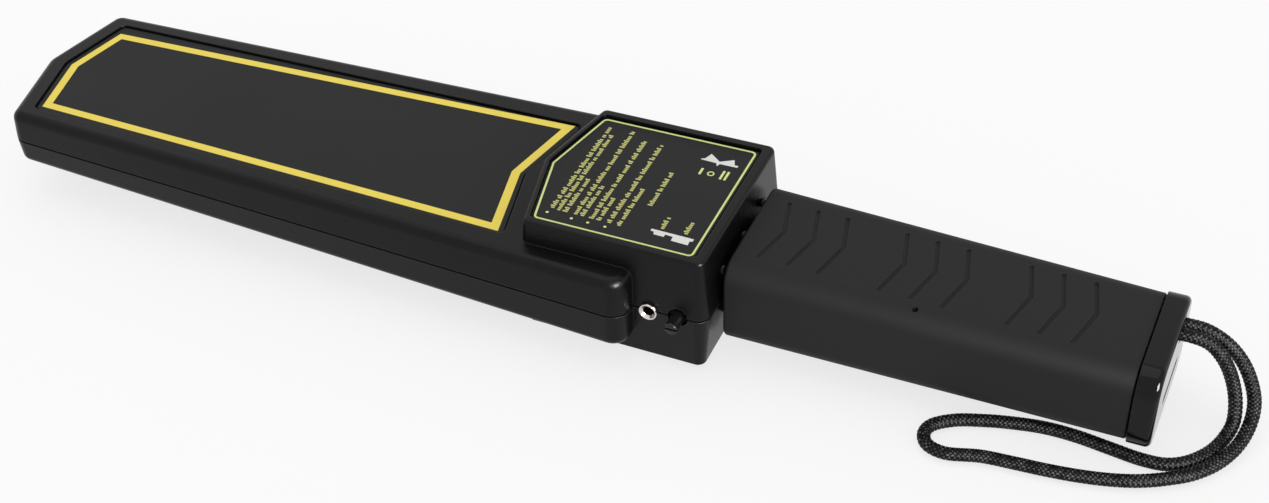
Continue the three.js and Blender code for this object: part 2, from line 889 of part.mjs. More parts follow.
const plug_front = cap_front - plug_length;
const plug_inset = tube_rim + seat_gap;
const cap_inside = overall_length - cap_face; // inner side of the cap's face

function capRing(x, distance) {
  return ring(gripSection(grip_rear, distance), 0, x);
}

function slotRing(x, half, half_height, middle_y, middle_z) {
  const corners = rectangle(half, -half_height, half_height, half_height);
  return ring(moved(corners, middle_y, middle_z), 0, x);
}

function endCap() {
  const shell = [capRing(cap_front, -cap_overhang)];
  for (let step = 0; step <= edge_steps; step += 1) {
    const angle = (Math.PI / 2) * (step / edge_steps);
    const fall = cap_edge_radius * (1 - Math.sin(angle));
    const draw = cap_edge_radius * (1 - Math.cos(angle));
    shell.push(capRing(overall_length - fall, draw - cap_overhang));
  }
  const plug = [capRing(plug_front, plug_inset), capRing(cap_front + cap_face / 2, plug_inset)];
  const hollow = [capRing(plug_front - cut_overrun, plug_inset + plug_wall)];
  hollow.push(capRing(cap_inside, plug_inset + plug_wall));
  const hole_half = cord_diameter + cord_strand_gap / 2 + cord_hole_clearance;
  const hole_rise = cord_diameter / 2 + cord_hole_clearance;
  const hole = [cap_front, overall_length + cut_overrun].map((x) => {
    return slotRing(x, hole_half, hole_rise, cord_side, cord_height);
  });
  const knot_pocket = [cap_front - cut_overrun, cap_inside].map((x) => {
    const half = knot_width / 2 + knot_room;
    return slotRing(x, half, knot_height / 2 + knot_room, cord_side, cord_height);
  });
  const slot = [overall_length - pull_slot_depth, overall_length + cut_overrun].map((x) => {
    return slotRing(x, pull_slot_length / 2, pull_slot_width / 2, 0, pull_slot_height);
  });
  const body = join(stack(shell), stack(plug));
  return lengthwise(cut(body, stack(hollow), stack(hole), stack(knot_pocket), stack(slot)));
}

const knot_x = cap_inside - seat_gap - knot_thickness / 2;

function cordKnot() {
  const geometry = new THREE.SphereGeometry(1, knot_segments, knot_rings);
  geometry.rotateZ(Math.PI / 2);
  geometry.scale(knot_thickness / 2, knot_width / 2, knot_height / 2);
  geometry.translate(knot_x, cord_side, cord_height);
  return solid(geometry);
}

// The cord's centre line: x beyond the cap's face, y, height
const cord_route = [
  [-2.8, 10.3, 30.4],
  [0.9, 10.7, 30.4],
  [6.2, 11.6, 29.3],
  [12.3, 12.3, 25.6],
  [17.3, 12.5, 20.2],
  [20.9, 11.2, 14.7],
  [23.3, 7.9, 10.1],
  [23.9, 2.9, 6.8],
  [22.5, -5, 3.9],
  [18.6, -13.3, 2.4],
  [12.9, -20.7, 2.4],
  [6.8, -25.3, 2.4],
  [0.1, -29.1, 2.4],
  [-7.2, -31.8, 2.4],
  [-15.7, -33.8, 2.4],
  [-24.9, -35.1, 2.4],
  [-34.3, -35.9, 2.4],
  [-44.1, -36.9, 2.4],
  [-54.8, -39.7, 2.4],
  [-60, -38.1, 2.4],
  [-62.1, -34.4, 2.4],
  [-61.3, -30.2, 2.4],
  [-55.7, -25.4, 2.4],
  [-46.9, -21.9, 2.4],
  [-38.8, -19.7, 2.4],
  [-30.1, -18.2, 2.4],
  [-20.8, -18.2, 2.4],
  [-11.1, -19.4, 2.4],
  [-1.4, -20.5, 2.4],
  [5.2, -19.8, 2.4],
  [10.3, -16.7, 2.4],
  [15.3, -10.3, 2.4],
  [18.1, -3.3, 2.7],
  [19.3, 1.5, 5],
  [18.5, 5.2, 10.1],
  [16.2, 7.1, 16.6],
  [12.6, 7.4, 23.5],
  [8, 6.9, 28.5],
  [3.1, 6, 30.4],
  [-2.8, 5.7, 30.4],
];

const cord_end_height = cord_route[0][2];
const cord_resting_height = Math.min(...cord_route.map((point) => point[2]));

// The parts of the cord that don't lie on the surface rise and fall with the cord hole
function wristCord() {
  const points = cord_route.map(([x, y, z]) => {
    const lifted_share = (z - cord_resting_height) / (cord_end_height - cord_resting_height);
    return [overall_length + x, y, z + lifted_share * (cord_height - cord_end_height)];
  });
  return swept(points, cord_diameter / 2, cord_sides, cord_steps);
}

// Controls and connectors

function chargeJack() {
  const front = -side_wall + wall + seat_gap;
  const barrel_end = -side_wall;
  const [half, rise] = [jack_width / 2, jack_height / 2];
  const low = parting_height - rise;
  const body = box(jack_x - half, jack_x + half, front, front + jack_depth, low, low + jack_height);
  const barrel_length = front + jack_depth / 2 - barrel_end;
  const barrel_start = front + jack_depth / 2;
  const barrel_turned = rod(jack_barrel_radius, barrel_length, fine_segments);
  const barrel = towardsNear(barrel_turned, jack_x, barrel_start, parting_height);
  const bore_turned = rod(jack_bore_radius, jack_bore_depth + cut_overrun, fine_segments);
  const bore = towardsNear(bore_turned, jack_x, barrel_end + jack_bore_depth, parting_height);
  return cut(join(body, barrel), bore);
}

function jackRing() {
  const back = -side_wall - seat_gap;
  const inner = jack_bore_radius;
  const profile = [
    [inner, 0],
    [ring_radius, 0],
    [ring_radius, ring_thickness - ring_bevel],
    [ring_radius - ring_bevel, ring_thickness],
    [inner + ring_bevel, ring_thickness],
    [inner, ring_thickness - ring_bevel],
    [inner, 0],
  ];
  return towardsNear(turned(profile, fine_segments), jack_x, back, parting_height);
}

const pot_face = -side_wall + wall + pot_setback; // the side of the body that the shaft leaves

function potentiometer() {
  const [half, rise] = [pot_width / 2, pot_height / 2];
  const low = parting_height - rise;
  const body = box(knob_x - half, knob_x + half, pot_face, pot_face + pot_depth, low, low + pot_height);
  const inner = knob_radius + running_clearance;
  const profile = [
    [inner, 0],
    [pot_collar_radius, 0],
    [pot_collar_radius, pot_collar_length + least_radius],
    [inner, pot_collar_length + least_radius],
    [inner, 0],
  ];
  const collar_start = pot_face + least_radius;
  const collar = towardsNear(turned(profile, fine_segments), knob_x, collar_start, parting_height);
  return join(body, collar);
}

function sensitivityKnob() {
  const start = pot_face - seat_gap;
  const length = start + side_wall + knob_standout;
  const profile = [
    [0, 0],
    [knob_radius, 0],
    [knob_radius, length - knob_bevel],
    [knob_radius - knob_bevel, length],
    [0, length],
  ];
  const body = towardsNear(turned(profile, fine_segments), knob_x, start, parting_height);
  const tip = start - length;
  const half = knob_slot_width / 2;
  const slot = box(
    knob_x - knob_radius, knob_x + knob_radius,
    tip - cut_overrun, tip + knob_slot_depth,
    parting_height - half, parting_height + half,
  );
  return cut(body, slot);
}

const rocker_pivot_y = bezel_front - rocker_pivot_depth;

function switchBody() {
  const pocket_half = rocker_length / 2 + rocker_end_room;
  const pocket_rise = rocker_height / 2 + rocker_side_room;
  const half = pocket_half + switch_wall;
  const rise = pocket_rise + switch_wall;
  const level = (distance) => [parting_height - distance, parting_height + distance];
  const corners = moved(
    rectangle(bezel_length / 2, -bezel_height / 2, bezel_height / 2, bezel_corner_radius),
    switch_x,
    0,
  );
  const bezel = geometryOf(plate(rounded(corners), 0, bezel_thickness));
  bezel.rotateX(Math.PI / 2).translate(0, bezel_front, parting_height);
  const back = bezel_front - switch_depth;
  const body = box(switch_x - half, switch_x + half, back, bezel_front, ...level(rise));
  const pocket_back = rocker_pivot_y - switch_pocket_depth;
  const pocket = box(
    switch_x - pocket_half, switch_x + pocket_half,
    pocket_back, bezel_front + cut_overrun,
    ...level(pocket_rise),
  );
  return cut(join(solid(bezel), body), pocket);
}

// The rocker's outline in its own frame: x along the wand, y away from the case, pivot at 0, 0
function switchRocker() {
  const end = rocker_length / 2;
  const points = [
    [-end, -rocker_root],
    [0, -rocker_heel],
    [end, -rocker_root],
    [end, rocker_wing],
    [0, rocker_dip],
    [-end, rocker_wing],
  ].map(([x, y]) => new THREE.Vector2(switch_x + x, rocker_pivot_y + y));
  return plate(points, parting_height - rocker_height / 2, parting_height + rocker_height / 2);
}

function lampLens() {
  const flange_start = lamp_wall_face - wall - seat_gap - lamp_flange_thickness;
  const tip = lamp_wall_face + lamp_standout;
  const profile = [
    [0, 0],
    [lamp_radius, 0],
    [lamp_radius, flange_start - tip + lamp_length],
    [lamp_flange_radius, flange_start - tip + lamp_length],
    [lamp_flange_radius, flange_start - tip + lamp_length + lamp_flange_thickness],
    [lamp_radius, flange_start - tip + lamp_length + lamp_flange_thickness],
  ];
  for (let step = 0; step <= edge_steps; step += 1) {
    const angle = (Math.PI / 2) * (step / edge_steps);
    const radius = lamp_radius * Math.cos(angle);
    profile.push([radius, lamp_length - lamp_radius * (1 - Math.sin(angle))]);
  }
  return { profile, start: tip - lamp_length };
}

function lamp(y) {
  const { profile, start } = lampLens();
  return alongX(turned(profile, plain_segments), start, y, lamp_height);
}

// Inside the console

function mainBoard() {
  const half = (board_rear - board_front) / 2;
  const corners = rectangle(half, -board_near_edge, board_far_edge, board_corner_radius);
  return plate(rounded(moved(corners, board_front + half, 0)), board_bottom, board_top);
}

function amplifierChip() {
  const x = board_front + chip_setback;
  const low = board_top + seat_gap;
  const half = chip_width / 2;
  return box(x, x + chip_length, chip_side - half, chip_side + half, low, low + chip_height);
}

function filterCapacitor() {
  const profile = [
    [0, 0],
    [capacitor_radius, 0],
    [capacitor_radius, capacitor_height - capacitor_bevel],
    [capacitor_radius - capacitor_bevel, capacitor_height],
    [0, capacitor_height],
  ];
  const x = board_front + capacitor_setback;
  return upright(turned(profile, plain_segments), x, capacitor_side, board_top + seat_gap);
}

function sounder() {
  const magnet_radius = sounder_radius - sounder_step;
  const lip_top = sounder_height / 2;
  const profile = [
    [0, 0],
    [sounder_radius, 0],
    [sounder_radius, lip_top],
    [magnet_radius, lip_top + sounder_lip],
    [magnet_radius, sounder_height],
    [0, sounder_height],
  ];
  return upright(turned(profile, fine_segments), sounder_x, 0, wall + seat_gap);
}

const motor_front = board_front + motor_setback;
const motor_axis_height = board_top + seat_gap + motor_radius;

function vibrationMotor() {
  const shaft_length = weight_thickness + 2 * seat_gap;
  const profile = [
    [0, -shaft_length],
    [motor_shaft_radius, -shaft_length],
    [motor_shaft_radius, 0],
    [motor_radius, 0],
    [motor_radius, motor_length],
    [0, motor_length],
  ];
  return alongX(turned(profile, plain_segments), motor_front, motor_side, motor_axis_height);
}

function eccentricWeight() {
  const shape = new THREE.Shape();
  shape.absarc(0, 0, weight_radius, Math.PI, 2 * Math.PI);
  shape.absarc(0, 0, weight_hub_radius, 0, Math.PI);
  const bore = new THREE.Path();
  bore.absarc(0, 0, motor_shaft_radius + running_clearance, 0, 2 * Math.PI);
  shape.holes.push(bore);
  const settings = { depth: weight_thickness, bevelEnabled: false, curveSegments: plain_segments };
  const disc = lengthwise(solid(new THREE.ExtrudeGeometry(shape, settings)));
  const front = motor_front - seat_gap - weight_thickness;
  return disc.translate([front, motor_side, motor_axis_height]);
}

// Inside the paddle

const former_low = paddle_floor + seat_gap;
const coil_low = former_low + former_thickness + seat_gap;
const coil_rear = console_front - coil_rear_setback;

function coilCorners(front, rear, side_room) {
  const drop = wall + paddle_draft + side_room;
  return [
    { x: front, y: -(paddleHalf(front) - drop), r: coil_corner_radius },
    { x: rear, y: -(paddleHalf(rear) - drop), r: coil_corner_radius },
    { x: rear, y: paddleHalf(rear) - drop, r: coil_corner_radius },
    { x: front, y: paddleHalf(front) - drop, r: coil_corner_radius },
  ];
}

// Leans a level piece so that it lies along the paddle's floor
function alongFloor(body) {
  const lean = new THREE.Matrix4().makeShear(0, floor_slope, 0, 0, 0, 0);
  return solid(geometryOf(body).applyMatrix4(lean));
}

function coilFormer() {
  const front = tip_screw_x - boss_radius;
  const rear = console_front - former_rear_setback;
  const drop = former_margin;
  const corners = coilCorners(front, rear, drop).map((corner) => ({ ...corner, r: former_corner_radius }));
  const window = rounded(inset(coilCorners(coil_front, coil_rear, coil_margin), former_window_margin));
  const body = plate(rounded(corners), former_low, former_low + former_thickness, [window]);
  const clear = boss_radius + seat_gap;
  const reach = former_thickness + 2 * cut_overrun;
  const holes = [tip_screw_y, -tip_screw_y].map((y) => {
    return upright(rod(clear, reach), tip_screw_x, y, former_low - cut_overrun);
  });
  return alongFloor(cut(body, ...holes));
}

function coil(corners) {
  const window = rounded(inset(corners, coil_thickness));
  return alongFloor(plate(rounded(corners), coil_low, coil_low + coil_height, [window]));
}

function transmitCoil() {
  return coil(coilCorners(coil_front, coil_rear, coil_margin));
}

function receiveCoil() {
  const front = coil_front + inner_coil_front_room;
  const rear = coil_rear - inner_coil_rear_room;
  return coil(coilCorners(front, rear, coil_margin + inner_coil_side_room));
}

function coilLead() {
  const start = coil_rear + seat_gap;
  const high = coil_low + coil_height / 2 + floorLean(start);
  const low = board_top + seat_gap + lead_radius;
  const points = [
    [start, lead_side, high],
    [start + lead_run_on, lead_side, high],
    [board_front - lead_run_on, lead_side, low],
    [board_front, lead_side, low],
    [board_front + lead_run_on, lead_side, low],
  ];
  return swept(points, lead_radius, lead_sides, lead_steps);
}

// Inside the handle

const foam_rear = plug_front - seat_gap;
const battery_rear = foam_rear - foam_thickness - seat_gap;
const battery_front = battery_rear - battery_length;
const battery_low = gripSection(battery_front, tube_rim)[0].y + seat_gap;
const battery_middle = battery_low + battery_height / 2;
const snap_rear = battery_front - seat_gap;

function battery() {
  const high = battery_low + battery_height;
  const corners = rectangle(battery_width / 2, battery_low, high, battery_corner_radius);
  const body = lengthwise(stack([ring(corners, 0, battery_front), ring(corners, 0, battery_rear)]));
  const terminals = [-terminal_spacing / 2, terminal_spacing / 2].map((y) => {
    const reach = terminal_length + battery_corner_radius;
    return alongX(rod(terminal_radius, reach), battery_front - terminal_length, y, battery_middle);
  });
  return join(body, ...terminals);
}

function batterySnap() {
  const low = battery_middle - snap_height / 2;
  const corners = rectangle(snap_length / 2, low, low + snap_height, snap_corner_radius);
  const rings = [ring(corners, 0, snap_rear - snap_thickness), ring(corners, 0, snap_rear)];
  const sockets = [-terminal_spacing / 2, terminal_spacing / 2].map((y) => {
    const start = battery_front - terminal_length - seat_gap;
    return alongX(rod(terminal_radius + seat_gap, snap_thickness), start, y, battery_middle);
  });
  return cut(lengthwise(stack(rings)), ...sockets);
}

function foamPad() {
  const distance = tube_rim + foam_side_room;
  return lengthwise(stack([capRing(foam_rear - foam_thickness, distance), capRing(foam_rear, distance)]));
}

function batteryLead() {
  const end = snap_rear - snap_thickness - seat_gap;
  const low = board_top + seat_gap + lead_radius;
  const points = [
    [board_rear - lead_run_on, 0, low],
    [board_rear, 0, low],
    [console_rear, 0, neck_middle],
    [grip_front + lead_run_on, 0, neck_middle],
    [end - lead_run_on, 0, battery_middle],
    [end, 0, battery_middle],
  ];
  return swept(points, lead_radius, lead_sides, lead_steps);
}

// Finishes: colour, roughness, metalness

function finish(color, roughness, metalness = 0) {
  return new THREE.MeshStandardMaterial({ color, roughness, metalness });
}

function piece(name, body, material) {
  const mesh = new THREE.Mesh(geometryOf(body), material);
  mesh.name = name;
  return mesh;
}

// The case opens into an upper and a lower shell, held by six screws from below
const case_group = new THREE.Group();
case_group.add(
  piece("upper_shell", upperShell(), finish(0x262626, 0.42)),
  piece("lower_shell", lowerShell(), finish(0x252525, 0.45)),
  piece("scan_label", label(scanRecessCorners(), scan_recess_floor), finish(0x2c2c2e, 0.6)),
  piece("control_label", label(controlRecessCorners(), control_recess_floor), finish(0x2a2a2c, 0.6)),
);
screw_places.forEach(([x, y], i) => {
  case_group.add(piece(`case_screw_${i + 1}`, caseScrew(x, y), finish(0x8c8f94, 0.35, 1)));
});

// The handle's tube is trapped by its flange, and the rubber sleeve is pulled over it
const handle_group = new THREE.Group();
handle_group.add(
  piece("handle_core", handleCore(), finish(0x1d1d1d, 0.5)),
  piece("grip_sleeve", gripSleeve(), finish(0x2a2a2a, 0.85)),
  piece("battery_9v", battery(), finish(0x3a3f45, 0.35, 0.6)),
  piece("battery_snap", batterySnap(), finish(0x151515, 0.6)),
  piece("battery_lead", batteryLead(), finish(0xa01818, 0.5)),
  piece("foam_pad", foamPad(), finish(0x55585a, 0.95)),
);

// The battery cover carries the wrist cord
const cap_group = new THREE.Group();
cap_group.add(
  piece("end_cap", endCap(), finish(0x101010, 0.15)),
  piece("cord_knot", cordKnot(), finish(0x141414, 0.9)),
  piece("wrist_cord", wristCord(), finish(0x141414, 0.9)),
);

// Controls, connector and lamps stand in the console's walls
const control_group = new THREE.Group();
control_group.add(
  piece("charge_jack", chargeJack(), finish(0x161616, 0.4)),
  piece("jack_ring", jackRing(), finish(0xd8d4cc, 0.2, 1)),
  piece("potentiometer", potentiometer(), finish(0x2b4a7a, 0.5)),
  piece("sensitivity_knob", sensitivityKnob(), finish(0x0e0e0e, 0.2)),
  piece("switch_body", switchBody(), finish(0x181818, 0.4)),
  piece("switch_rocker", switchRocker(), finish(0x101010, 0.3)),
);
const lamp_colours = { led_green: 0x2f8f4a, led_red: 0xb02020, led_amber: 0xd08a1a };
Object.entries(lamp_colours).forEach(([name, color], i) => {
  control_group.add(piece(name, lamp(lampPlaces()[i]), finish(color, 0.2)));
});

// The electronics lie in the belly, and the coils in the paddle
const inner_group = new THREE.Group();
inner_group.add(
  piece("main_board", mainBoard(), finish(0x1f5a33, 0.5)),
  piece("amplifier_chip", amplifierChip(), finish(0x141414, 0.5)),
  piece("filter_capacitor", filterCapacitor(), finish(0x1c2f66, 0.4)),
  piece("sounder", sounder(), finish(0x1a1a1a, 0.5)),
  piece("vibration_motor", vibrationMotor(), finish(0xb8b8b8, 0.3, 1)),
  piece("eccentric_weight", eccentricWeight(), finish(0x9a9a92, 0.35, 1)),
  piece("coil_former", coilFormer(), finish(0xd8d2c0, 0.6)),
  piece("transmit_coil", transmitCoil(), finish(0xb06a30, 0.35, 0.6)),
  piece("receive_coil", receiveCoil(), finish(0xb8763a, 0.35, 0.6)),
  piece("coil_lead", coilLead(), finish(0x303030, 0.6)),
);

const wand = new THREE.Group();
wand.add(case_group, handle_group, cap_group, control_group, inner_group);
wand.position.x = -overall_length / 2;

export default wand;
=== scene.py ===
import math

import bmesh
import bpy
import numpy as np
from mathutils import Matrix, Vector


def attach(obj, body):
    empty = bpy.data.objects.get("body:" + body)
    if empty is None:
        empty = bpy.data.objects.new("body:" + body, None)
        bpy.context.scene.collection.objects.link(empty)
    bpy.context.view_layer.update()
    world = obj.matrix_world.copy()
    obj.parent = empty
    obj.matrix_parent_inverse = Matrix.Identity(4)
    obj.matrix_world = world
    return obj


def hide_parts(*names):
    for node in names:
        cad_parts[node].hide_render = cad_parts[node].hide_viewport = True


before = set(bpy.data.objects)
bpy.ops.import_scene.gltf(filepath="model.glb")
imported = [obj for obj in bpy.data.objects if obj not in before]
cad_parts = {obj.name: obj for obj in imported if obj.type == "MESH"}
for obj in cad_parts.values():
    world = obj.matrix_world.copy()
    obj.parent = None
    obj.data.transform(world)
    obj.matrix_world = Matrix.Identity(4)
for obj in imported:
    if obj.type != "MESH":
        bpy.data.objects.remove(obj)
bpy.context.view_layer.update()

# The studio: a pale floor that runs out of sight, a white room and a broad soft lamp overhead. A
# smaller lamp at the near right adds gloss only: small highlights on the mouldings' rounded corners.
# The camera looks down on the near side of the wand, with the paddle's tip to the left.

MM = 0.001
room_strength = 0.74
overhead_power, overhead_size = 3.4, 1.1
corner_power, corner_size = 60.0, 0.55
floor_glow = 0.76
floor_half = 4.0
floor_drop = 0.0001
floor_colour, floor_shade = (0.95, 0.95, 0.95), (0.93, 0.93, 0.93)


def wired(tree, kind, inputs, **settings):
    """Adds a node; each input is a number, a colour or the socket of another node."""
    node = tree.nodes.new(kind)
    for key, value in settings.items():
        setattr(node, key, value)
    for key, value in inputs.items():
        if isinstance(value, bpy.types.NodeSocket):
            tree.links.new(value, node.inputs[key])
        else:
            node.inputs[key].default_value = value
    return node


class Finish:
    """A material that is built up on its Principled shader, over the piece's own coordinates."""

    def __init__(self, name, roughness, **constants):
        self.material = bpy.data.materials.new(name)
        self.material.use_nodes = True
        self.tree = self.material.node_tree
        self.shader = self.tree.nodes["Principled BSDF"]
        self.shader.inputs["Roughness"].default_value = roughness
        for key, value in constants.items():
            self.shader.inputs[key.replace("_", " ")].default_value = value
        self.place = self.tree.nodes.new("ShaderNodeTexCoord").outputs["Object"]

    def node(self, kind, inputs, output=0, **settings):
        return wired(self.tree, kind, inputs, **settings).outputs[output]

    def math(self, operation, *values):
        return self.node("ShaderNodeMath", dict(enumerate(values)), operation=operation)

    def noise(self, scale, detail=2.0, place=None):
        place = self.place if place is None else place
        return self.node("ShaderNodeTexNoise", {"Vector": place, "Scale": scale, "Detail": detail}, "Fac")

    def stored(self, name):
        """A value that the piece's mesh holds at each point."""
        return self.node("ShaderNodeAttribute", {}, "Fac", attribute_name=name)

    def ranged(self, value, low, high, start=0.0, end=1.0):
        """Lays the value's stretch from low to high over start to end."""
        return self.node("ShaderNodeMapRange", {0: value, 1: low, 2: high, 3: start, 4: end})

    def past(self, letter, start, end):
        """Nothing before one millimetre mark along an axis, and one beyond the other."""
        run = self.node("ShaderNodeSeparateXYZ", {"Vector": self.place}, letter)
        return self.ranged(run, start * MM, end * MM)

    def blend(self, share, first, second):
        """A mix of two colours, each given as three numbers or as a socket."""
        ends = [(*end, 1) if isinstance(end, tuple) else end for end in (first, second)]
        return self.node("ShaderNodeMix", {"Factor": share, "A": ends[0], "B": ends[1]}, "Result",
                         data_type="RGBA")

    def done(self, colour, roughness=None, height=None, strength=0.0, relief=0.0):
        """Joins the colour to the shader, and the roughness and the relief where they are given."""
        joined = {"Base Color": colour}
        if roughness is not None:
            joined["Roughness"] = roughness
        if height is not None:
            joined["Normal"] = self.node("ShaderNodeBump", {
                "Height": height, "Strength": strength, "Distance": relief * MM})
        for key, socket in joined.items():
            self.tree.links.new(socket, self.shader.inputs[key])
        return self.material


def seen_share(tree):
    """One for rays from the camera, a mirror or clear plastic, and nothing for the others."""
    light_path = tree.nodes.new("ShaderNodeLightPath").outputs
    mirrored = wired(tree, "ShaderNodeMath", {
        0: light_path["Is Glossy Ray"], 1: light_path["Is Transmission Ray"]}, operation="MAXIMUM")
    return wired(tree, "ShaderNodeMath", {
        0: light_path["Is Camera Ray"], 1: mirrored.outputs[0]}, operation="MAXIMUM").outputs[0]


world = bpy.data.worlds.new("white_room")
world.use_nodes = True
bpy.context.scene.world = world
room = world.node_tree
room.nodes.clear()
strength = wired(room, "ShaderNodeMapRange", {0: seen_share(room), 3: room_strength, 4: 1.0})
glow = wired(room, "ShaderNodeBackground", {"Color": (1, 1, 1, 1), "Strength": strength.outputs[0]})
wired(room, "ShaderNodeOutputWorld", {"Surface": glow.outputs[0]})

paper = Finish("pale_floor", 0.9, Specular_IOR_Level=0.1)
fibre = paper.node("ShaderNodeTexNoise", {"Scale": 40.0, "Detail": 3.0}, "Fac")
paper.done(paper.blend(fibre, floor_shade, floor_colour))
share = paper.math("MULTIPLY", seen_share(paper.tree), floor_glow)
white = paper.node("ShaderNodeEmission", {"Color": (1, 1, 1, 1), "Strength": 1.0})
lit = paper.node("ShaderNodeMixShader", {0: share, 1: paper.shader.outputs[0], 2: white})
paper.tree.links.new(lit, paper.tree.nodes["Material Output"].inputs["Surface"])
floor_mesh = bpy.data.meshes.new("floor")
floor_corners = [
    (x * floor_half, y * floor_half, -floor_drop) for x, y in ((-1, -1), (1, -1), (1, 1), (-1, 1))]
floor_mesh.from_pydata(floor_corners, [], [(0, 1, 2, 3)])
floor_mesh.materials.append(paper.material)
floor = bpy.data.objects.new("floor", floor_mesh)
bpy.context.scene.collection.objects.link(floor)


def soft_lamp(name, power, size, place, target):
    """A square lamp at one point that faces another."""
    lamp = bpy.data.objects.new(name, bpy.data.lights.new(name, "AREA"))
    lamp.data.energy = power
    lamp.data.size = size
    lamp.location = place
    lamp.rotation_mode = "QUATERNION"
    lamp.rotation_quaternion = (Vector(target) - Vector(place)).to_track_quat("-Z", "Y")
    bpy.context.scene.collection.objects.link(lamp)
    return lamp


soft_lamp("overhead_lamp", overhead_power, overhead_size, (-0.15, 0.1, 1.25), (0, 0, 0))
corner_lamp = soft_lamp("corner_lamp", corner_power, corner_size, (1.0, -0.7, 0.5), (0.05, 0, 0.02))
corner_lamp.visible_diffuse = False

camera_place = Vector((0.23682, -0.44963, 0.42673))
camera_right = Vector((0.87715425, 0.47021102, -0.09747831))
camera_up = Vector((-0.23728584, 0.60088334, 0.76330507))
camera_back = Vector((0.41748755, -0.64640607, 0.63864179))
camera = bpy.data.objects.new("camera", bpy.data.cameras.new("camera"))
camera.data.sensor_width = 36
camera.data.lens = 54.356
camera.data.shift_x = 0.17455
camera.data.shift_y = 0.0079
camera.data.clip_start = 0.01
camera_turn = Matrix((camera_right, camera_up, camera_back)).transposed()
camera.matrix_world = Matrix.Translation(camera_place) @ camera_turn.to_4x4()
bpy.context.scene.collection.objects.link(camera)
bpy.context.scene.camera = camera
bpy.context.scene.view_settings.view_transform = "Standard"

# Case, lower shell: injection-moulded ABS with a fine spark-eroded grain. It carries the belly that
# the wand lies on, the board's posts and six screw bosses. The sounder's grille opens in its floor.

half_length = 205.0
console_front, console_rear = 206.0, 278.0
paddle_rear = 253.5
paddle_half_tip, paddle_half_rear = 35.8, 42.5
tip_depth, arrow_depth = 8.2, 7.7
side_wall = 34.3
parting_height, half_seam = 22.8, 0.3
paddle_top, paddle_tip_bottom, case_height = 36.6, 15.3, 45.0
underside_slope = (9.5 - paddle_tip_bottom) / paddle_rear
seam_tip_rise = 2.2
seam_slope = -seam_tip_rise / paddle_rear
paddle_draft, console_draft = 0.5, 1.8
wall, belly_bevel = 2.2, 3.4
paddle_roof, console_roof = 32.9, 40.9
seam_ease = 0.2
arc_steps, edge_steps = 12, 8
jack_x, knob_x, switch_x = 258.8, 268.5, 263.5
boss_radius, post_radius, post_top = 3.6, 3.0, 17.35
counterbore_radius, counterbore_top = 2.4, 17.9
screw_hole = (1.45, 10, 30.1)
grille_x, grille_ring = 246.0, 5.5
screw_places = [(20, 26.02), (20, -26.02), (220, 22), (220, -22), (238, 35.88), (238, -35.88)]
post_places = [(230.5, 18.6), (230.5, -22.5), (266.5, 18.6), (266.5, -22.5)]
paddle_outline = [
    (0, 0, 8), (tip_depth, -paddle_half_tip, 5), (paddle_rear, -paddle_half_rear, 6.5),
    (paddle_rear, paddle_half_rear, 6.5), (tip_depth, paddle_half_tip, 5),
]
console_outline = [
    (console_front, 0, 5), (console_front + arrow_depth, -side_wall, 4), (console_rear, -side_wall, 4.5),
    (console_rear, side_wall, 4.5), (console_front + arrow_depth, side_wall, 4),
]


def rectangle(x0, y0, x1, y1, radius):
    return [(x0, y0, radius), (x1, y0, radius), (x1, y1, radius), (x0, y1, radius)]


def drawn_in(corners, distance):
    """An outline of (x, y, radius) corners with every side moved inwards."""
    sides = []
    for i, (x, y, _) in enumerate(corners):
        ahead = corners[(i + 1) % len(corners)]
        along = Vector((ahead[0] - x, ahead[1] - y)).normalized()
        sides.append((Vector((x, y)) + Vector((-along.y, along.x)) * distance, along))
    moved = []
    for i, (_, _, radius) in enumerate(corners):
        start, along = sides[i - 1]
        other, after = sides[i]
        turn = along.cross(after)
        met = start + along * ((other - start).cross(after) / turn)
        moved.append((met.x, met.y, max(radius - math.copysign(distance, turn), 0.05)))
    return moved


def softened(corners, steps=arc_steps):
    """The outline's points, with an arc at every corner."""
    points = []
    for i, (x, y, radius) in enumerate(corners):
        here = Vector((x, y))
        back = Vector(corners[i - 1][:2]) - here
        ahead = Vector(corners[(i + 1) % len(corners)][:2]) - here
        reach = min(back.length, ahead.length) * 0.45
        back.normalize()
        ahead.normalize()
        half = math.acos(max(-1.0, min(1.0, back.dot(ahead)))) / 2
        radius = min(radius, reach * math.tan(half))
        middle = here + (back + ahead).normalized() * (radius / math.sin(half))
        first = here + back * (radius / math.tan(half)) - middle
        last = here + ahead * (radius / math.tan(half)) - middle
        sweep = math.atan2(first.cross(last), first.dot(last))
        for step in range(steps + 1):
            points.append(middle + Matrix.Rotation(sweep * step / steps, 2) @ first)
    return points


def upright_place(x, y, height):
    return Vector((x - half_length, y, height)) * MM


def lengthwise_place(y, z, station):
    return Vector((station - half_length, y, z)) * MM


def outward_place(x, z, out):
    return Vector((x - half_length, out, z)) * MM


def shown(name, mesh, sharp=32):
    """A mesh object in the scene, smooth between its sharp edges, with its faces outwards."""
    built = bmesh.new()
    built.from_mesh(mesh)
    bmesh.ops.remove_doubles(built, verts=built.verts, dist=1e-7)
    bmesh.ops.recalc_face_normals(built, faces=built.faces)
    built.to_mesh(mesh)
    built.free()
    mesh.shade_smooth()
    mesh.set_sharp_from_angle(angle=math.radians(sharp))
    piece = bpy.data.objects.new(name, mesh)
    bpy.context.scene.collection.objects.link(piece)
    return piece


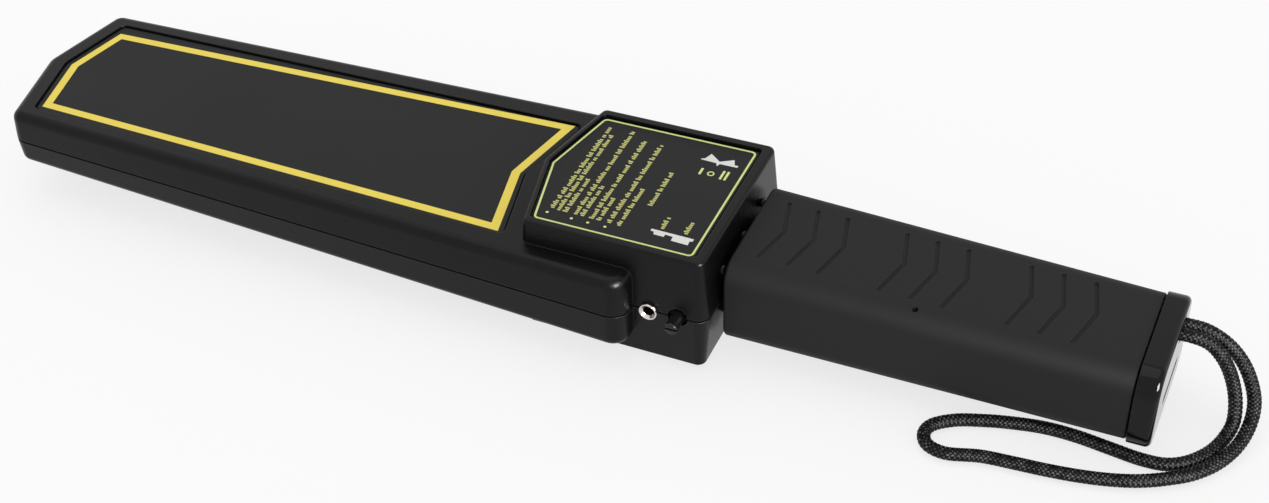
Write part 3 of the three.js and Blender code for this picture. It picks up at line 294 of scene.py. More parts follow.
def skinned(name, loops, ends=True, closed=False):
    """A solid whose skin runs from loop to loop of points, closed at its ends or onto itself."""
    count = len(loops[0])
    points = [point for loop in loops for point in loop]
    faces = []
    for low in range(len(loops) if closed else len(loops) - 1):
        high = (low + 1) % len(loops)
        for i in range(count):
            j = (i + 1) % count
            faces.append((low * count + i, low * count + j, high * count + j, high * count + i))
    if ends and not closed:
        faces.append(tuple(reversed(range(count))))
        faces.append(tuple(range(len(points) - count, len(points))))
    mesh = bpy.data.meshes.new(name)
    mesh.from_pydata(points, [], faces)
    return shown(name, mesh)


def layered(name, rings, place=upright_place, closed=False):
    """A moulding through a stack of (height, corners) rings; a height can be (start, slope)."""
    loops = []
    for height, corners in rings:
        start, slope = height if isinstance(height, tuple) else (height, 0.0)
        loops.append([place(x, y, start + slope * x) for x, y in softened(corners)])
    return skinned(name, loops, closed=closed)


def sloping(rings, slope):
    return [((height, slope), corners) for height, corners in rings]


def quarter_round(steps=edge_steps):
    """Steps round an edge of radius 1: how far below its face, and how far in from its side."""
    turns = [math.pi / 2 * step / steps for step in range(steps + 1)]
    return [(1 - math.sin(turn), 1 - math.cos(turn)) for turn in turns]


def eased_edge(corners, height, radius, draw, upwards):
    """Rings of a rounded edge that ends at a height, drawn in from an outline."""
    way = -radius if upwards else radius
    rings = [(height + way * fall, drawn_in(corners, draw + radius * inset))
             for fall, inset in quarter_round()]
    return rings if upwards else rings[::-1]


def turned(name, profile, x, y, z, direction="up", segments=48):
    """A turned piece, from (radius, height) points that start at its lower end."""
    across, aside, ahead = {
        "up": ((1, 0, 0), (0, 1, 0), (0, 0, 1)),
        "rearwards": ((0, 1, 0), (0, 0, 1), (1, 0, 0)),
        "near": ((1, 0, 0), (0, 0, 1), (0, -1, 0)),
    }[direction]
    centre = Vector((x - half_length, y, z))
    loops = []
    for radius, height in profile:
        turns = [2 * math.pi * i / segments for i in range(segments)]
        loops.append([(
            centre + Vector(across) * (radius * math.cos(turn)) + Vector(aside) * (radius * math.sin(turn))
            + Vector(ahead) * height) * MM for turn in turns])
    return skinned(name, loops, ends=False)


def rod(name, radius, low, high, x, y, z=0, direction="up", segments=32):
    return turned(name, [(0, low), (radius, low), (radius, high), (0, high)], x, y, z, direction, segments)


def block(name, x0, x1, y0, y1, z0, z1, ease=0.0):
    corners = rectangle(x0, y0, x1, y1, ease)
    if not ease:
        loops = [[upright_place(x, y, z) for x, y, _ in corners] for z in (z0, z1)]
        return skinned(name, loops)
    return layered(name, eased_edge(corners, z0, ease, 0, False) + eased_edge(corners, z1, ease, 0, True))


def plain_mesh(piece):
    """The piece's mesh with its modifiers worked in."""
    return bpy.data.meshes.new_from_object(piece.evaluated_get(bpy.context.evaluated_depsgraph_get()))


def worked(body, operation, *tools):
    """Joins the tools to a body or cuts them from it, and removes them."""
    for tool in tools:
        modifier = body.modifiers.new("tool", "BOOLEAN")
        modifier.operation = operation
        modifier.solver = "EXACT"
        modifier.object = tool
    name, mesh = body.name, plain_mesh(body)
    for old in (body, *tools):
        bpy.data.objects.remove(old)
    return shown(name, mesh)


def fitted(piece, material, body, *nodes, slot):
    """Gives a piece its finish and even shading, hangs it on the body it rides on, and hides the CAD nodes
    it stands for.
    """
    piece.data.materials.clear()
    piece.data.materials.append(material)
    even = piece.modifiers.new("even_shading", "WEIGHTED_NORMAL")
    even.keep_sharp = True
    even.weight = 100
    mesh = plain_mesh(piece)
    piece.modifiers.clear()
    piece.data = mesh
    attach(piece, body)
    if nodes:
        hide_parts(*nodes)
    return piece


def console_wall(height):
    """How far the console's wall has drawn in at a height."""
    span = case_height - parting_height if height > parting_height else parting_height
    return console_draft * abs(height - parting_height) / span


def case_inside():
    """The hollow of the case, paddle and console together."""
    paddle = drawn_in(paddle_outline, wall + paddle_draft)
    hollow = layered("paddle_hollow", [
        ((paddle_tip_bottom + wall, underside_slope), paddle), (paddle_roof, paddle)])
    bevel_top = wall + belly_bevel
    rings = [(wall, wall + console_draft + belly_bevel), (bevel_top, wall + console_wall(bevel_top)),
             (parting_height, wall), (console_roof, wall + console_wall(console_roof))]
    console = layered("console_hollow", [(z, drawn_in(console_outline, draw)) for z, draw in rings])
    return worked(hollow, "UNION", console)


def boss_end(x, upper):
    """How far a boss runs into the shell's floor or roof, which is deeper under the console."""
    in_console = console_front < x < 226
    if upper:
        return (console_roof if in_console else paddle_roof) + wall / 2
    return (0 if in_console else paddle_tip_bottom + underside_slope * x) + wall / 2


def seam_face(x, upper):
    """Height of a shell's edge at the seam, which climbs along the paddle to its tip."""
    rise = max(seam_tip_rise + seam_slope * x, 0)
    return parting_height + rise + (half_seam if upper else -half_seam)


def wall_openings():
    """Cutters for the jack, the sensitivity shaft, the switch and the handle's neck."""
    neck = rectangle(-17.3, 11.2, 17.3, 28.8, 4.3)
    return [
        rod("jack_opening", 3.0, -4, 2, jack_x, -side_wall, parting_height, "near"),
        rod("shaft_opening", 3.4, -4, 2, knob_x, -side_wall, parting_height, "near"),
        block("switch_opening", 255.4, 271.6, side_wall - 4, side_wall + 2, 16.9, 28.7),
        layered("neck_opening", [(273.8, neck), (280, neck)], lengthwise_place),
    ]


def case_half(name, paddle_rings, console_rings, upper):
    """One shell: paddle and console in one, hollowed, with its bosses up to the seam."""
    body = worked(layered(name, paddle_rings), "UNION", layered("console", console_rings))
    body = worked(body, "DIFFERENCE", case_inside())
    bosses = []
    for x, y in screw_places:
        seam = seam_face(x, upper)
        ends = (seam, boss_end(x, True)) if upper else (boss_end(x, False), seam)
        bosses.append(rod("boss", boss_radius, *ends, x, y))
    return worked(body, "UNION", *bosses)


def grained_moulding(name, colour, pale, roughness, grain, relief, gloss=0.2, edge_wear_and_highlight=0.035):
    """Moulded plastic or rubber: fine grain, slow changes of tone and gloss, and edges painted lighter,
    partly as wear and partly as a painted highlight.
    """
    finish = Finish(name, roughness, Specular_IOR_Level=gloss)
    slow, fine = finish.noise(22.0, 4.0), finish.noise(1 / (grain * MM))
    eased = finish.node("ShaderNodeBevel", {"Radius": 0.6 * MM}, samples=4)
    surface = finish.tree.nodes.new("ShaderNodeNewGeometry").outputs["Normal"]
    straight = finish.node("ShaderNodeVectorMath", {0: eased, 1: surface}, "Value", operation="DOT_PRODUCT")
    # Edges are painted lighter here: partly wear, partly a painted highlight along them.
    worn_and_lit_edges = finish.ranged(straight, 0.995, 0.86, 0.0, 0.6)
    tone_with_edge_highlight = finish.blend(worn_and_lit_edges, finish.blend(slow, colour, pale), (edge_wear_and_highlight,) * 3)
    shine = finish.ranged(slow, 0.3, 0.7, roughness - 0.04, roughness + 0.05)
    return finish.done(tone_with_edge_highlight, shine, fine, 0.35, relief)


case_plastic = grained_moulding(
    "case_plastic", (0.004, 0.004, 0.0042), (0.0065, 0.0065, 0.0068), 0.27, 0.5, 0.3, 0.14, 0.07)

paddle_rings = sloping(
    eased_edge(paddle_outline, paddle_tip_bottom, 3.0, paddle_draft, False), underside_slope)
paddle_rings += sloping(eased_edge(paddle_outline, seam_face(0, False), seam_ease, 0, True), seam_slope)
console_rings = [(z, drawn_in(console_outline, console_wall(belly_bevel) + draw)) for z, draw in (
    (0, 3.4), (0.1, 3.2), (3.1, 0.2), (3.5, 0))]
console_rings += eased_edge(console_outline, seam_face(paddle_rear, False), seam_ease, 0.02, True)
lower_shell = case_half("lower_shell_moulding", paddle_rings, console_rings, False)
posts = [rod("post", post_radius, wall / 2, post_top, x, y) for x, y in post_places]
lower_shell = worked(lower_shell, "UNION", *posts)
bores = [rod("counterbore", counterbore_radius, -2, counterbore_top, x, y) for x, y in screw_places]
bores += [rod("screw_hole", *screw_hole, x, y) for x, y in screw_places]
grille = [(grille_x, 0)]
for i in range(6):
    turn = i * math.pi / 3
    grille.append((grille_x + grille_ring * math.cos(turn), grille_ring * math.sin(turn)))
bores += [rod("grille_hole", 1.1, -2, 4, x, y) for x, y in grille]
lower_shell = worked(lower_shell, "DIFFERENCE", *bores, *wall_openings())
fitted(lower_shell, case_plastic, "case", "lower_shell", slot="case_plastic")

# Search coils: a flat former of phenolic board carries two rounded racetrack windings of enamelled
# copper wire, tied with tape. A twisted pair runs from the outer winding back to the board.

coil_low, coil_height, coil_thickness = 20.6, 5.0, 4.0
coil_front, coil_rear, coil_corner = 30.0, 194.0, 9.0
wire_radius, wire_pitch = 0.24, 0.5
tie_width = 3.0
lead_wire_radius, lead_lay = 0.52, 9.0


def dressed(node, material):
    """Gives a CAD node that stays in view its finish."""
    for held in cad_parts[node].material_slots:
        held.material = material


def growing_tree(name, **sockets):
    """A Geometry Nodes tree with named inputs, and those inputs as sockets."""
    tree = bpy.data.node_groups.new(name, "GeometryNodeTree")
    tree.interface.new_socket("Geometry", in_out="INPUT", socket_type="NodeSocketGeometry")
    for label, kind in sockets.items():
        tree.interface.new_socket(label.replace("_", " "), in_out="INPUT", socket_type="NodeSocket" + kind)
    tree.interface.new_socket("Geometry", in_out="OUTPUT", socket_type="NodeSocketGeometry")
    return tree, tree.nodes.new("NodeGroupInput").outputs


def ended(tree, geometry, material):
    """Ends a tree: plain geometry with its finish."""
    real = wired(tree, "GeometryNodeRealizeInstances", {"Geometry": geometry})
    done = wired(tree, "GeometryNodeSetMaterial", {"Geometry": real.outputs[0], "Material": material})
    wired(tree, "NodeGroupOutput", {"Geometry": done.outputs[0]})


def grown(name, mesh, tree, values, sharp=32):
    """Runs a tree on a mesh and keeps the result as a plain mesh."""
    host = bpy.data.objects.new(name, mesh)
    bpy.context.scene.collection.objects.link(host)
    modifier = host.modifiers.new("grown", "NODES")
    modifier.node_group = tree
    for item in tree.interface.items_tree:
        if item.in_out == "INPUT" and item.name in values:
            modifier[item.identifier] = values[item.name]
    made = plain_mesh(host)
    bpy.data.objects.remove(host)
    return shown(name, made, sharp)


def strand_mesh(name, strands, closed):
    """A mesh of edges only, one chain for each strand; its strand attribute counts them."""
    points, edges, numbers = [], [], []
    for number, strand in enumerate(strands):
        first = len(points)
        points += [Vector(point) * MM for point in strand]
        edges += [(i, i + 1) for i in range(first, len(points) - 1)]
        if closed:
            edges.append((len(points) - 1, first))
        numbers += [float(number)] * len(strand)
    mesh = bpy.data.meshes.new(name)
    mesh.from_pydata(points, edges, [])
    mesh.attributes.new("strand", "FLOAT", "POINT").data.foreach_set("value", numbers)
    return mesh


wire_tree, given = growing_tree("drawn_wire", Wire_Radius="Float", Wire_Sides="Int", Finish="Material")
wire_path = wired(wire_tree, "GeometryNodeMeshToCurve", {"Mesh": given["Geometry"]})
wire_round = wired(wire_tree, "GeometryNodeCurvePrimitiveCircle", {
    "Resolution": given["Wire Sides"], "Radius": given["Wire Radius"]})
wire_body = wired(wire_tree, "GeometryNodeCurveToMesh", {
    "Curve": wire_path.outputs[0], "Profile Curve": wire_round.outputs["Curve"], "Fill Caps": True})
ended(wire_tree, wire_body.outputs[0], given["Finish"])

copy_tree, given = growing_tree("copies_at_places", Piece="Object", Finish="Material")
copied = wired(copy_tree, "GeometryNodeObjectInfo", {"Object": given["Piece"]})
stretch = wired(copy_tree, "GeometryNodeInputNamedAttribute", {"Name": "stretch"}, data_type="FLOAT_VECTOR")
turn = wired(copy_tree, "GeometryNodeInputNamedAttribute", {"Name": "turn"}, data_type="FLOAT_VECTOR")
placed = wired(copy_tree, "GeometryNodeInstanceOnPoints", {
    "Points": given["Geometry"], "Instance": copied.outputs["Geometry"],
    "Rotation": turn.outputs[0], "Scale": stretch.outputs[0]})
ended(copy_tree, placed.outputs[0], given["Finish"])


def copies(name, unit, places, material, stretches=None, turns=None):
    """Copies of a unit piece, which was made about the frame's origin, at (x, y, z) places."""
    mesh = bpy.data.meshes.new(name)
    mesh.from_pydata([upright_place(*place) for place in places], [], [])
    ones, zeros = [(1, 1, 1)] * len(places), [(0, 0, 0)] * len(places)
    for label, values in (("stretch", stretches or ones), ("turn", turns or zeros)):
        attribute = mesh.attributes.new(label, "FLOAT_VECTOR", "POINT")
        attribute.data.foreach_set("vector", [number for value in values for number in value])
    made = grown(name, mesh, copy_tree, {"Piece": unit, "Finish": material})
    bpy.data.objects.remove(unit)
    return made


def paddle_half(x):
    share = (x - tip_depth) / (paddle_rear - tip_depth)
    return paddle_half_tip + (paddle_half_rear - paddle_half_tip) * share


def coil_outline(front, rear, drop):
    sides = [(front, -paddle_half(front) + drop), (rear, -paddle_half(rear) + drop)]
    return [(x, y, coil_corner) for x, y in sides + [(x, -y) for x, y in reversed(sides)]]


def enamelled_copper(name):
    """Copper wire under clear enamel, with tone and gloss that change along the winding."""
    finish = Finish(name, 0.3, Metallic=1.0, Coat_Weight=0.5, Coat_Roughness=0.15)
    uneven = finish.noise(160.0, 3.0)
    step = finish.math("FRACT", finish.math("MULTIPLY", finish.stored("strand"), 0.618))
    share = finish.math("MULTIPLY", uneven, step)
    tone = finish.blend(share, (0.36, 0.11, 0.035), (0.62, 0.25, 0.09))
    return finish.done(tone, finish.ranged(uneven, 0.0, 1.0, 0.22, 0.42))


coil_copper = enamelled_copper("coil_copper")
tape = grained_moulding("tie_tape", (0.012, 0.012, 0.012), (0.02, 0.02, 0.02), 0.55, 0.3, 0.02)


def wound_coil(name, node, corners):
    """The turns on the four sides of the winding's section, and the ties round it."""
    rises = np.arange(coil_low + wire_radius, coil_low + coil_height - wire_radius, wire_pitch)
    insets = np.arange(wire_radius + wire_pitch, coil_thickness - 2 * wire_radius, wire_pitch)
    turns = [(side, z) for z in rises for side in (wire_radius, coil_thickness - wire_radius)]
    turns += [(side, z) for side in insets for z in (rises[0], rises[-1])]
    strands = []
    for inset, z in turns:
        loop = softened(drawn_in(corners, inset), 7)
        strands.append([(x - half_length, y, z + underside_slope * x) for x, y in loop])
    mesh = strand_mesh(name, strands, True)
    values = {"Wire Radius": wire_radius * MM, "Wire Sides": 6, "Finish": coil_copper}
    coil = grown(name, mesh, wire_tree, values)
    fitted(coil, coil_copper, "case", node, slot="coil_copper")
    front, rear = corners[0][0], corners[1][0]
    middle, height = coil_thickness / 2 + 0.12, coil_height / 2 + 0.12
    section = rectangle(-middle, -height, middle, height, 0.3)
    inner = drawn_in(section, 0.1)
    start, end = half_length - tie_width / 2, half_length + tie_width / 2
    tie_rings = [(start, inner), (start, section), (end, section), (end, inner)]
    tie = layered("tie", tie_rings, lengthwise_place, closed=True)
    places, tilts = [], []
    lean = math.atan2(abs(corners[1][1]) - abs(corners[0][1]), rear - front)
    for share in (0.15, 0.38, 0.62, 0.85):
        x = front + share * (rear - front)
        side = abs(corners[0][1]) + share * (abs(corners[1][1]) - abs(corners[0][1]))
        for sign in (-1, 1):
            height = coil_low + coil_height / 2 + underside_slope * x
            places.append((x, sign * (side - coil_thickness / 2), height))
            tilts.append((0, -underside_slope, sign * lean))
    ties = copies(name + "_ties", tie, places, tape, turns=tilts)
    fitted(ties, tape, "case", slot="lead_black")


wound_coil("transmit_coil_winding", "transmit_coil", coil_outline(coil_front, coil_rear, 7.7))
wound_coil("receive_coil_winding", "receive_coil", coil_outline(coil_front + 22, coil_rear - 34, 20.7))

phenolic = grained_moulding(
    "former_board", (0.42, 0.33, 0.2), (0.55, 0.46, 0.3), 0.55, 0.8, 0.04, edge_wear_and_highlight=0.6)
dressed("coil_former", phenolic)


def flowing(route, count):
    """Evenly spaced points along a centripetal spline through the route, and its length."""
    points = [np.array(point, float) for point in route]
    points = [2 * points[0] - points[1], *points, 2 * points[-1] - points[-2]]
    fine = []
    for before, start, end, after in zip(points, points[1:], points[2:], points[3:]):
        chords = (start - before, end - start, after - end)
        gaps = [max(np.linalg.norm(chord), 1e-6) ** 0.5 for chord in chords]
        leave = (start - before) / gaps[0] - (end - before) / (gaps[0] + gaps[1]) + (end - start) / gaps[1]
        reach = (end - start) / gaps[1] - (after - start) / (gaps[1] + gaps[2]) + (after - end) / gaps[2]
        leave, reach = leave * gaps[1], reach * gaps[1]
        for t in np.linspace(0, 1, 40, endpoint=False):
            fine.append(start + leave * t + (3 * (end - start) - 2 * leave - reach) * t**2
                        + (2 * (start - end) + leave + reach) * t**3)
    fine = np.array([*fine, points[-2]])
    run = np.concatenate([[0], np.cumsum(np.linalg.norm(np.diff(fine, axis=0), axis=1))])
    stations = np.linspace(0, run[-1], count)
    return np.stack([np.interp(stations, run, fine[:, axis]) for axis in range(3)], 1), run[-1]


def insulated_wire(name, colours):
    """Flexible wire insulation; each strand of a lead takes its own colour."""
    finish = Finish(name, 0.42, Specular_IOR_Level=0.35)
    tone = finish.blend(finish.stored("strand"), *colours)
    soiled = finish.ranged(finish.noise(400.0), 0.0, 1.0, 0.8, 1.15)
    return finish.done(finish.node("ShaderNodeVectorMath", {0: tone, "Scale": soiled}, operation="SCALE"))


def twisted_lead(name, node, route, colours, slot):
    """Two insulated wires laid round each other along a route."""
    middle, length = flowing(route, int(2 * math.dist(route[0], route[-1])))
    strands = []
    for phase in (0, math.pi):
        strand = []
        for i, point in enumerate(middle):
            ahead = middle[min(i + 1, len(middle) - 1)] - middle[max(i - 1, 0)]
            rise = np.cross(ahead / np.linalg.norm(ahead), (0, 1, 0))
            turn = 2 * math.pi * length * i / (len(middle) - 1) / lead_lay + phase
            offset = np.array((0, 1, 0)) * math.cos(turn) + rise * math.sin(turn)
            strand.append(point + offset * lead_wire_radius - (half_length, 0, 0))
        strands.append(strand)
    material = insulated_wire(name + "_insulation", colours)
    values = {"Wire Radius": lead_wire_radius * MM, "Wire Sides": 10, "Finish": material}
    lead = grown(name, strand_mesh(name, strands, False), wire_tree, values)
    fitted(lead, material, "case", node, slot=slot)


coil_route = [(194.3, 6, 18.65), (200.3, 6, 18.65), (220, 6, 20.75), (226, 6, 20.75), (232, 6, 20.75)]
twisted_lead("coil_lead_pair", "coil_lead", coil_route, ((0.01,) * 3, (0.25, 0.24, 0.22)), "lead_black")

# Main board: green fibreglass on four posts, with an eight-legged amplifier, a sleeved electrolytic
# capacitor and small surface-mounted parts, all soldered.

part_floor = 19.3
chip_centre, chip_low, chip_top = (243.1, -14), 19.65, 21.25
capacitor_place = (257, 2, 19.55)


def solder_mask(name):
    """Green mask over copper tracks, which show as slightly raised lighter lines."""
    finish = Finish(name, 0.35, Specular_IOR_Level=0.5)
    tracks = wired(finish.tree, "ShaderNodeTexBrick", {
        "Vector": finish.place, "Scale": 220.0, "Mortar Size": 0.03, "Mortar Smooth": 0.3,
        "Color1": (0.008, 0.075, 0.026, 1), "Color2": (0.01, 0.085, 0.03, 1),
        "Mortar": (0.02, 0.16, 0.06, 1)}).outputs
    shine = finish.ranged(finish.noise(900.0), 0.0, 1.0, 0.28, 0.42)
    return finish.done(tracks["Color"], shine, tracks["Fac"], 0.5, 0.04)


def drawn_metal(name, colour, dull, roughness, grain=600.0, stretch=(1, 1, 1)):
    """Bare metal with fine drawn or turned lines, and duller patches."""
    finish = Finish(name, roughness, Metallic=1.0)
    along = finish.node("ShaderNodeMapping", {"Vector": finish.place, "Scale": stretch})
    lines, patches = finish.noise(grain, 3.0, along), finish.noise(90.0, 3.0)
    shine = finish.ranged(lines, 0.3, 0.7, roughness * 0.7, roughness * 1.3)
    return finish.done(finish.blend(patches, colour, dull), shine, lines, 0.2, 0.01)


def unit_block(name, long, wide, low, high, ease=0.0):
    """A block about the frame's origin, made to be copied to its places."""
    x, y = half_length - long / 2, -wide / 2
    return block(name, x, x + long, y, y + wide, low, high, ease)


board_green = solder_mask("board_green")
dressed("main_board", board_green)
chip_black = grained_moulding("chip_black", (0.012, 0.012, 0.013), (0.02, 0.02, 0.02), 0.5, 0.12, 0.02)
solder = drawn_metal("solder_tin", (0.62, 0.62, 0.63), (0.45, 0.45, 0.46), 0.3)

chip = block("chip_moulding", 238.0, 248.2, -16.1, -11.9, chip_low, chip_top, 0.15)
notch = rod("notch", 0.6, 20.9, 22, 238.0, -14)
fitted(worked(chip, "DIFFERENCE", notch), chip_black, "case", "amplifier_chip", slot="chip_black")
leg_outline = [
    (0, 0), (0, -0.25), (0.55, -0.25), (0.65, -1.1), (1.05, -1.1), (1.05, -0.95), (0.78, -0.95), (0.68, 0)]
leg_loops = [[Vector((x, y, z)) * MM for y, z in leg_outline] for x in (-0.2, 0.2)]
leg_places, leg_turns = [], []
for i in range(4):
    for side, turned_about in ((-1, math.pi), (1, 0.0)):
        leg_places.append((chip_centre[0] + (i - 1.5) * 2.2, chip_centre[1] + side * 1.7, 20.5))
        leg_turns.append((0, 0, turned_about))
legs = copies("chip_legs", skinned("leg", leg_loops), leg_places, solder, turns=leg_turns)
fitted(legs, solder, "case", slot="zinc_steel")

small_parts = [(233, -10), (233, -14), (236, -21), (241, -21), (250, -20), (254, -8), (258, -11), (262, -4),
               (236, 8), (242, 9), (252, 10), (258, 12), (263, 8), (246, -6)]
small_turns = [(0, 0, math.pi / 2 * (i % 2)) for i in range(len(small_parts))]
small_body = unit_block("small_body", 1.2, 0.8, 0, 0.5, 0.05)
small_places = [(x, y, part_floor) for x, y in small_parts]
bodies = copies("small_part_bodies", small_body, small_places, chip_black, turns=small_turns)
fitted(bodies, chip_black, "case", slot="chip_black")
end_pair = worked(block("end_a", 204.1, 204.45, -0.42, 0.42, -0.02, 0.53, 0.05), "UNION",
                  block("end_b", 205.55, 205.9, -0.42, 0.42, -0.02, 0.53, 0.05))
ends = copies("small_part_ends", end_pair, small_places, solder, turns=small_turns)
fitted(ends, solder, "case", slot="zinc_steel")


def capacitor_sleeve(name):
    """Shrunk plastic sleeve, with the pale stripe that marks one lead."""
    finish = Finish(name, 0.25, Specular_IOR_Level=0.5)
    stripe = finish.past("X", 259.0 - half_length, 259.1 - half_length)
    tone = finish.blend(stripe, (0.012, 0.022, 0.09), (0.5, 0.52, 0.55))
    return finish.done(tone, None, finish.noise(300.0), 0.3, 0.03)


can = turned("capacitor_can", [
    (0, 0.1), (2.6, 0.1), (3.0, 0.3), (3.1, 0.9), (2.85, 1.2), (2.85, 1.5), (3.15, 1.9),
    (3.15, 7.1), (3.0, 7.45), (2.7, 7.55), (2.5, 7.45), (2.4, 7.3), (0, 7.3)], *capacitor_place)
vents = [block("vent", 255.2, 258.8, 1.85, 2.15, 26.7, 28),
         block("vent", 256.85, 257.15, 0.2, 3.8, 26.7, 28)]
can = worked(can, "DIFFERENCE", *vents)
fitted(can, capacitor_sleeve("capacitor_sleeve"), "case", "filter_capacitor", slot="capacitor_sleeve")

# Sounder: a small round loudspeaker, face down over the grille. Its pressed frame holds a paper cone
# with a rolled edge, and the magnet stands on its back.

frame_profile = [
    (0, 1.0), (3.4, 0.7), (4.2, 1.4), (10.6, 0.75), (11.3, 0.35), (12.0, 0.35), (12.4, 0.75),
    (12.6, 0.1), (12.8, 0), (13.8, 0), (14, 0.2), (14, 4.05), (13.6, 4.35), (11.4, 5.1), (11, 5.5),
    (11, 8.2), (10.7, 8.5), (2.0, 8.5), (1.8, 8.2), (0, 8.2)]
cone_paper = grained_moulding("sounder_black", (0.012, 0.012, 0.012), (0.02, 0.02, 0.019), 0.6, 0.4, 0.05)
speaker = turned("sounder_frame", frame_profile, grille_x, 0, 2.5, segments=72)
fitted(speaker, cone_paper, "case", "sounder", slot="sounder_black")

# Vibration motor: a drawn steel can with a rolled front and a plastic end cap. The half-round weight
# on its shaft is sintered steel, and spins.

motor_place = (231.8, 16, 23.05)
motor_steel = drawn_metal("motor_steel", (0.56, 0.55, 0.54), (0.4, 0.4, 0.4), 0.3, 800.0, (0.05, 1, 1))
motor = turned("motor_can", [
    (0, 0), (0.5, 0), (0.6, 0.1), (0.6, 3.7), (1.3, 3.75), (1.3, 4.2), (3.1, 4.2), (3.4, 4.35), (3.5, 4.7),
    (3.5, 14.6), (3.3, 14.9), (3.3, 15.4), (3.2, 15.5), (3.2, 16.5), (3.0, 16.7), (0, 16.7)],
    *motor_place, "rearwards", 40)
fitted(motor, motor_steel, "case", "vibration_motor", slot="motor_steel")
weight_steel = drawn_metal("weight_steel", (0.34, 0.33, 0.32), (0.26, 0.25, 0.25), 0.5, 1500.0)
dressed("eccentric_weight", weight_steel)

# Charging jack: a moulded socket behind the near wall, with a bore for the plug. A turned nickel
# collar with rounded edges and a flared mouth is pressed over its front end.

collar_back = -34.6
control_plastic = grained_moulding(
    "control_plastic", (0.006, 0.006, 0.006), (0.01, 0.01, 0.01), 0.22, 0.3, 0.01, 0.3)
nickel = drawn_metal("nickel", (0.76, 0.72, 0.68), (0.55, 0.51, 0.48), 0.16, 2500.0)
dressed("charge_jack", control_plastic)
collar = turned("jack_collar", [
    (1.85, 0), (3.0, 0), (3.1, 0.1), (3.1, 0.55), (3.05, 0.72), (2.93, 0.85), (2.78, 0.9), (2.62, 0.88),
    (2.48, 0.78), (2.35, 0.6), (1.95, 0.1), (1.85, 0)], jack_x, collar_back, parting_height, "near", 64)
fitted(collar, nickel, "case", "jack_ring", slot="nickel")

# Sensitivity control: a small moulded potentiometer behind the wall, and its shaft, which turns in
# the case's hole and has a slot across its end for a screwdriver.

shaft_back, shaft_slot_floor, shaft_slot_half = -30.9, -39.1, 0.4


def two_moulded(name, rear_colour, front_colour, split):
    """A moulded body with a front of another colour, which starts at a distance from the centre."""
    finish = Finish(name, 0.45, Specular_IOR_Level=0.3)
    front = finish.past("Y", 0.05 - split, -0.05 - split)
    uneven = finish.noise(900.0)
    shine = finish.ranged(uneven, 0.0, 1.0, 0.36, 0.56)
    return finish.done(finish.blend(front, rear_colour, front_colour), shine, uneven, 0.3, 0.02)


dressed("potentiometer", two_moulded("pot_blue", (0.035, 0.1, 0.28), (0.006, 0.006, 0.006), 30.8))
shaft = turned("sensitivity_shaft", [
    (0, 0), (2.1, 0), (2.2, 0.1), (2.2, 8.8), (2.14, 9.05), (2.0, 9.23), (1.8, 9.3), (0, 9.3)],
    knob_x, shaft_back, parting_height, "near", 56)
slot_low, slot_high = parting_height - shaft_slot_half, parting_height + shaft_slot_half
shaft_slot = block("shaft_slot", knob_x - 3, knob_x + 3, -42, shaft_slot_floor, slot_low, slot_high)
shaft = worked(shaft, "DIFFERENCE", shaft_slot)
fitted(shaft, control_plastic, "sensitivity_shaft", "sensitivity_knob", slot="control_plastic")

# Mode switch, in the far wall: a moulded bezel and body in one, and a three-position rocker with a
# dished top. Its two ends carry one and two printed strokes.

rocker_y, rocker_half, rocker_low, rocker_high = 35.3, 5.9, 18.6, 27.0
bezel_back, bezel_front, pocket_floor = 34.6, 35.9, 30.3
bezel_outline = rectangle(254.5, 16.3, 272.5, 29.3, 1.2)
bezel_rings = eased_edge(bezel_outline, bezel_back, 0.12, 0, False)
bezel_rings += eased_edge(bezel_outline, bezel_front, 0.4, 0, True)
bezel = layered("switch_bezel", bezel_rings, outward_place)
bezel = worked(bezel, "UNION", block("switch_box", 255.7, 271.3, 23.9, 35, 17.2, 28.4))
pocket_outline = rectangle(256.8, 18.3, 270.2, 27.3, 0.6)
pocket_mouth = drawn_in(pocket_outline, -0.25)
pocket_rings = [
    (pocket_floor, pocket_outline), (35.5, pocket_outline), (bezel_front, pocket_mouth), (37, pocket_mouth)]
bezel = worked(bezel, "DIFFERENCE", layered("pocket", pocket_rings, outward_place))
fitted(bezel, control_plastic, "case", "switch_body", slot="control_plastic")

rocker_outline = [
    (switch_x - rocker_half, rocker_y - 1.2, 0.3), (switch_x, rocker_y - 2.4, 2.0),
    (switch_x + rocker_half, rocker_y - 1.2, 0.3), (switch_x + rocker_half, rocker_y + 3.4, 0.7),
    (switch_x, rocker_y + 2.0, 14.0), (switch_x - rocker_half, rocker_y + 3.4, 0.7)]
rocker_rings = eased_edge(rocker_outline, rocker_low, 0.35, 0, False)
rocker_rings += eased_edge(rocker_outline, rocker_high, 0.35, 0, True)
rocker = layered("rocker_moulding", rocker_rings)
fitted(rocker, control_plastic, "rocker", "switch_rocker", slot="control_plastic")


def printed_ink(name, colour):
    """Screen-printed ink: a thin, slightly uneven film with a soft gloss."""
    finish = Finish(name, 0.45, Specular_IOR_Level=0.3)
    tone = finish.blend(finish.noise(120.0, 5.0), colour, tuple(0.86 * part for part in colour))
    return finish.done(tone, None, finish.noise(4000.0), 0.2, 0.01)


white_ink = printed_ink("white_ink", (0.8, 0.8, 0.78))
stroke_places, stroke_turns = [], []
rocker_slope = math.atan2(1.4, rocker_half)
for reach, side in ((3.7, -1), (3.2, 1), (4.2, 1)):
    rise = 2.02 + 1.4 * reach / rocker_half
    stroke_places.append((switch_x + side * reach, rocker_y + rise, 22.8))
    stroke_turns.append((0, 0, side * rocker_slope))
stroke = unit_block("stroke", 0.3, 0.04, -1.4, 1.4)
strokes = copies("rocker_strokes", stroke, stroke_places, white_ink, turns=stroke_turns)
fitted(strokes, white_ink, "rocker", slot="control_plastic")

# Handle core: a moulded tube with a neck and a flange that is trapped behind the console's rear
# wall. It carries the rubber sleeve and holds the battery.

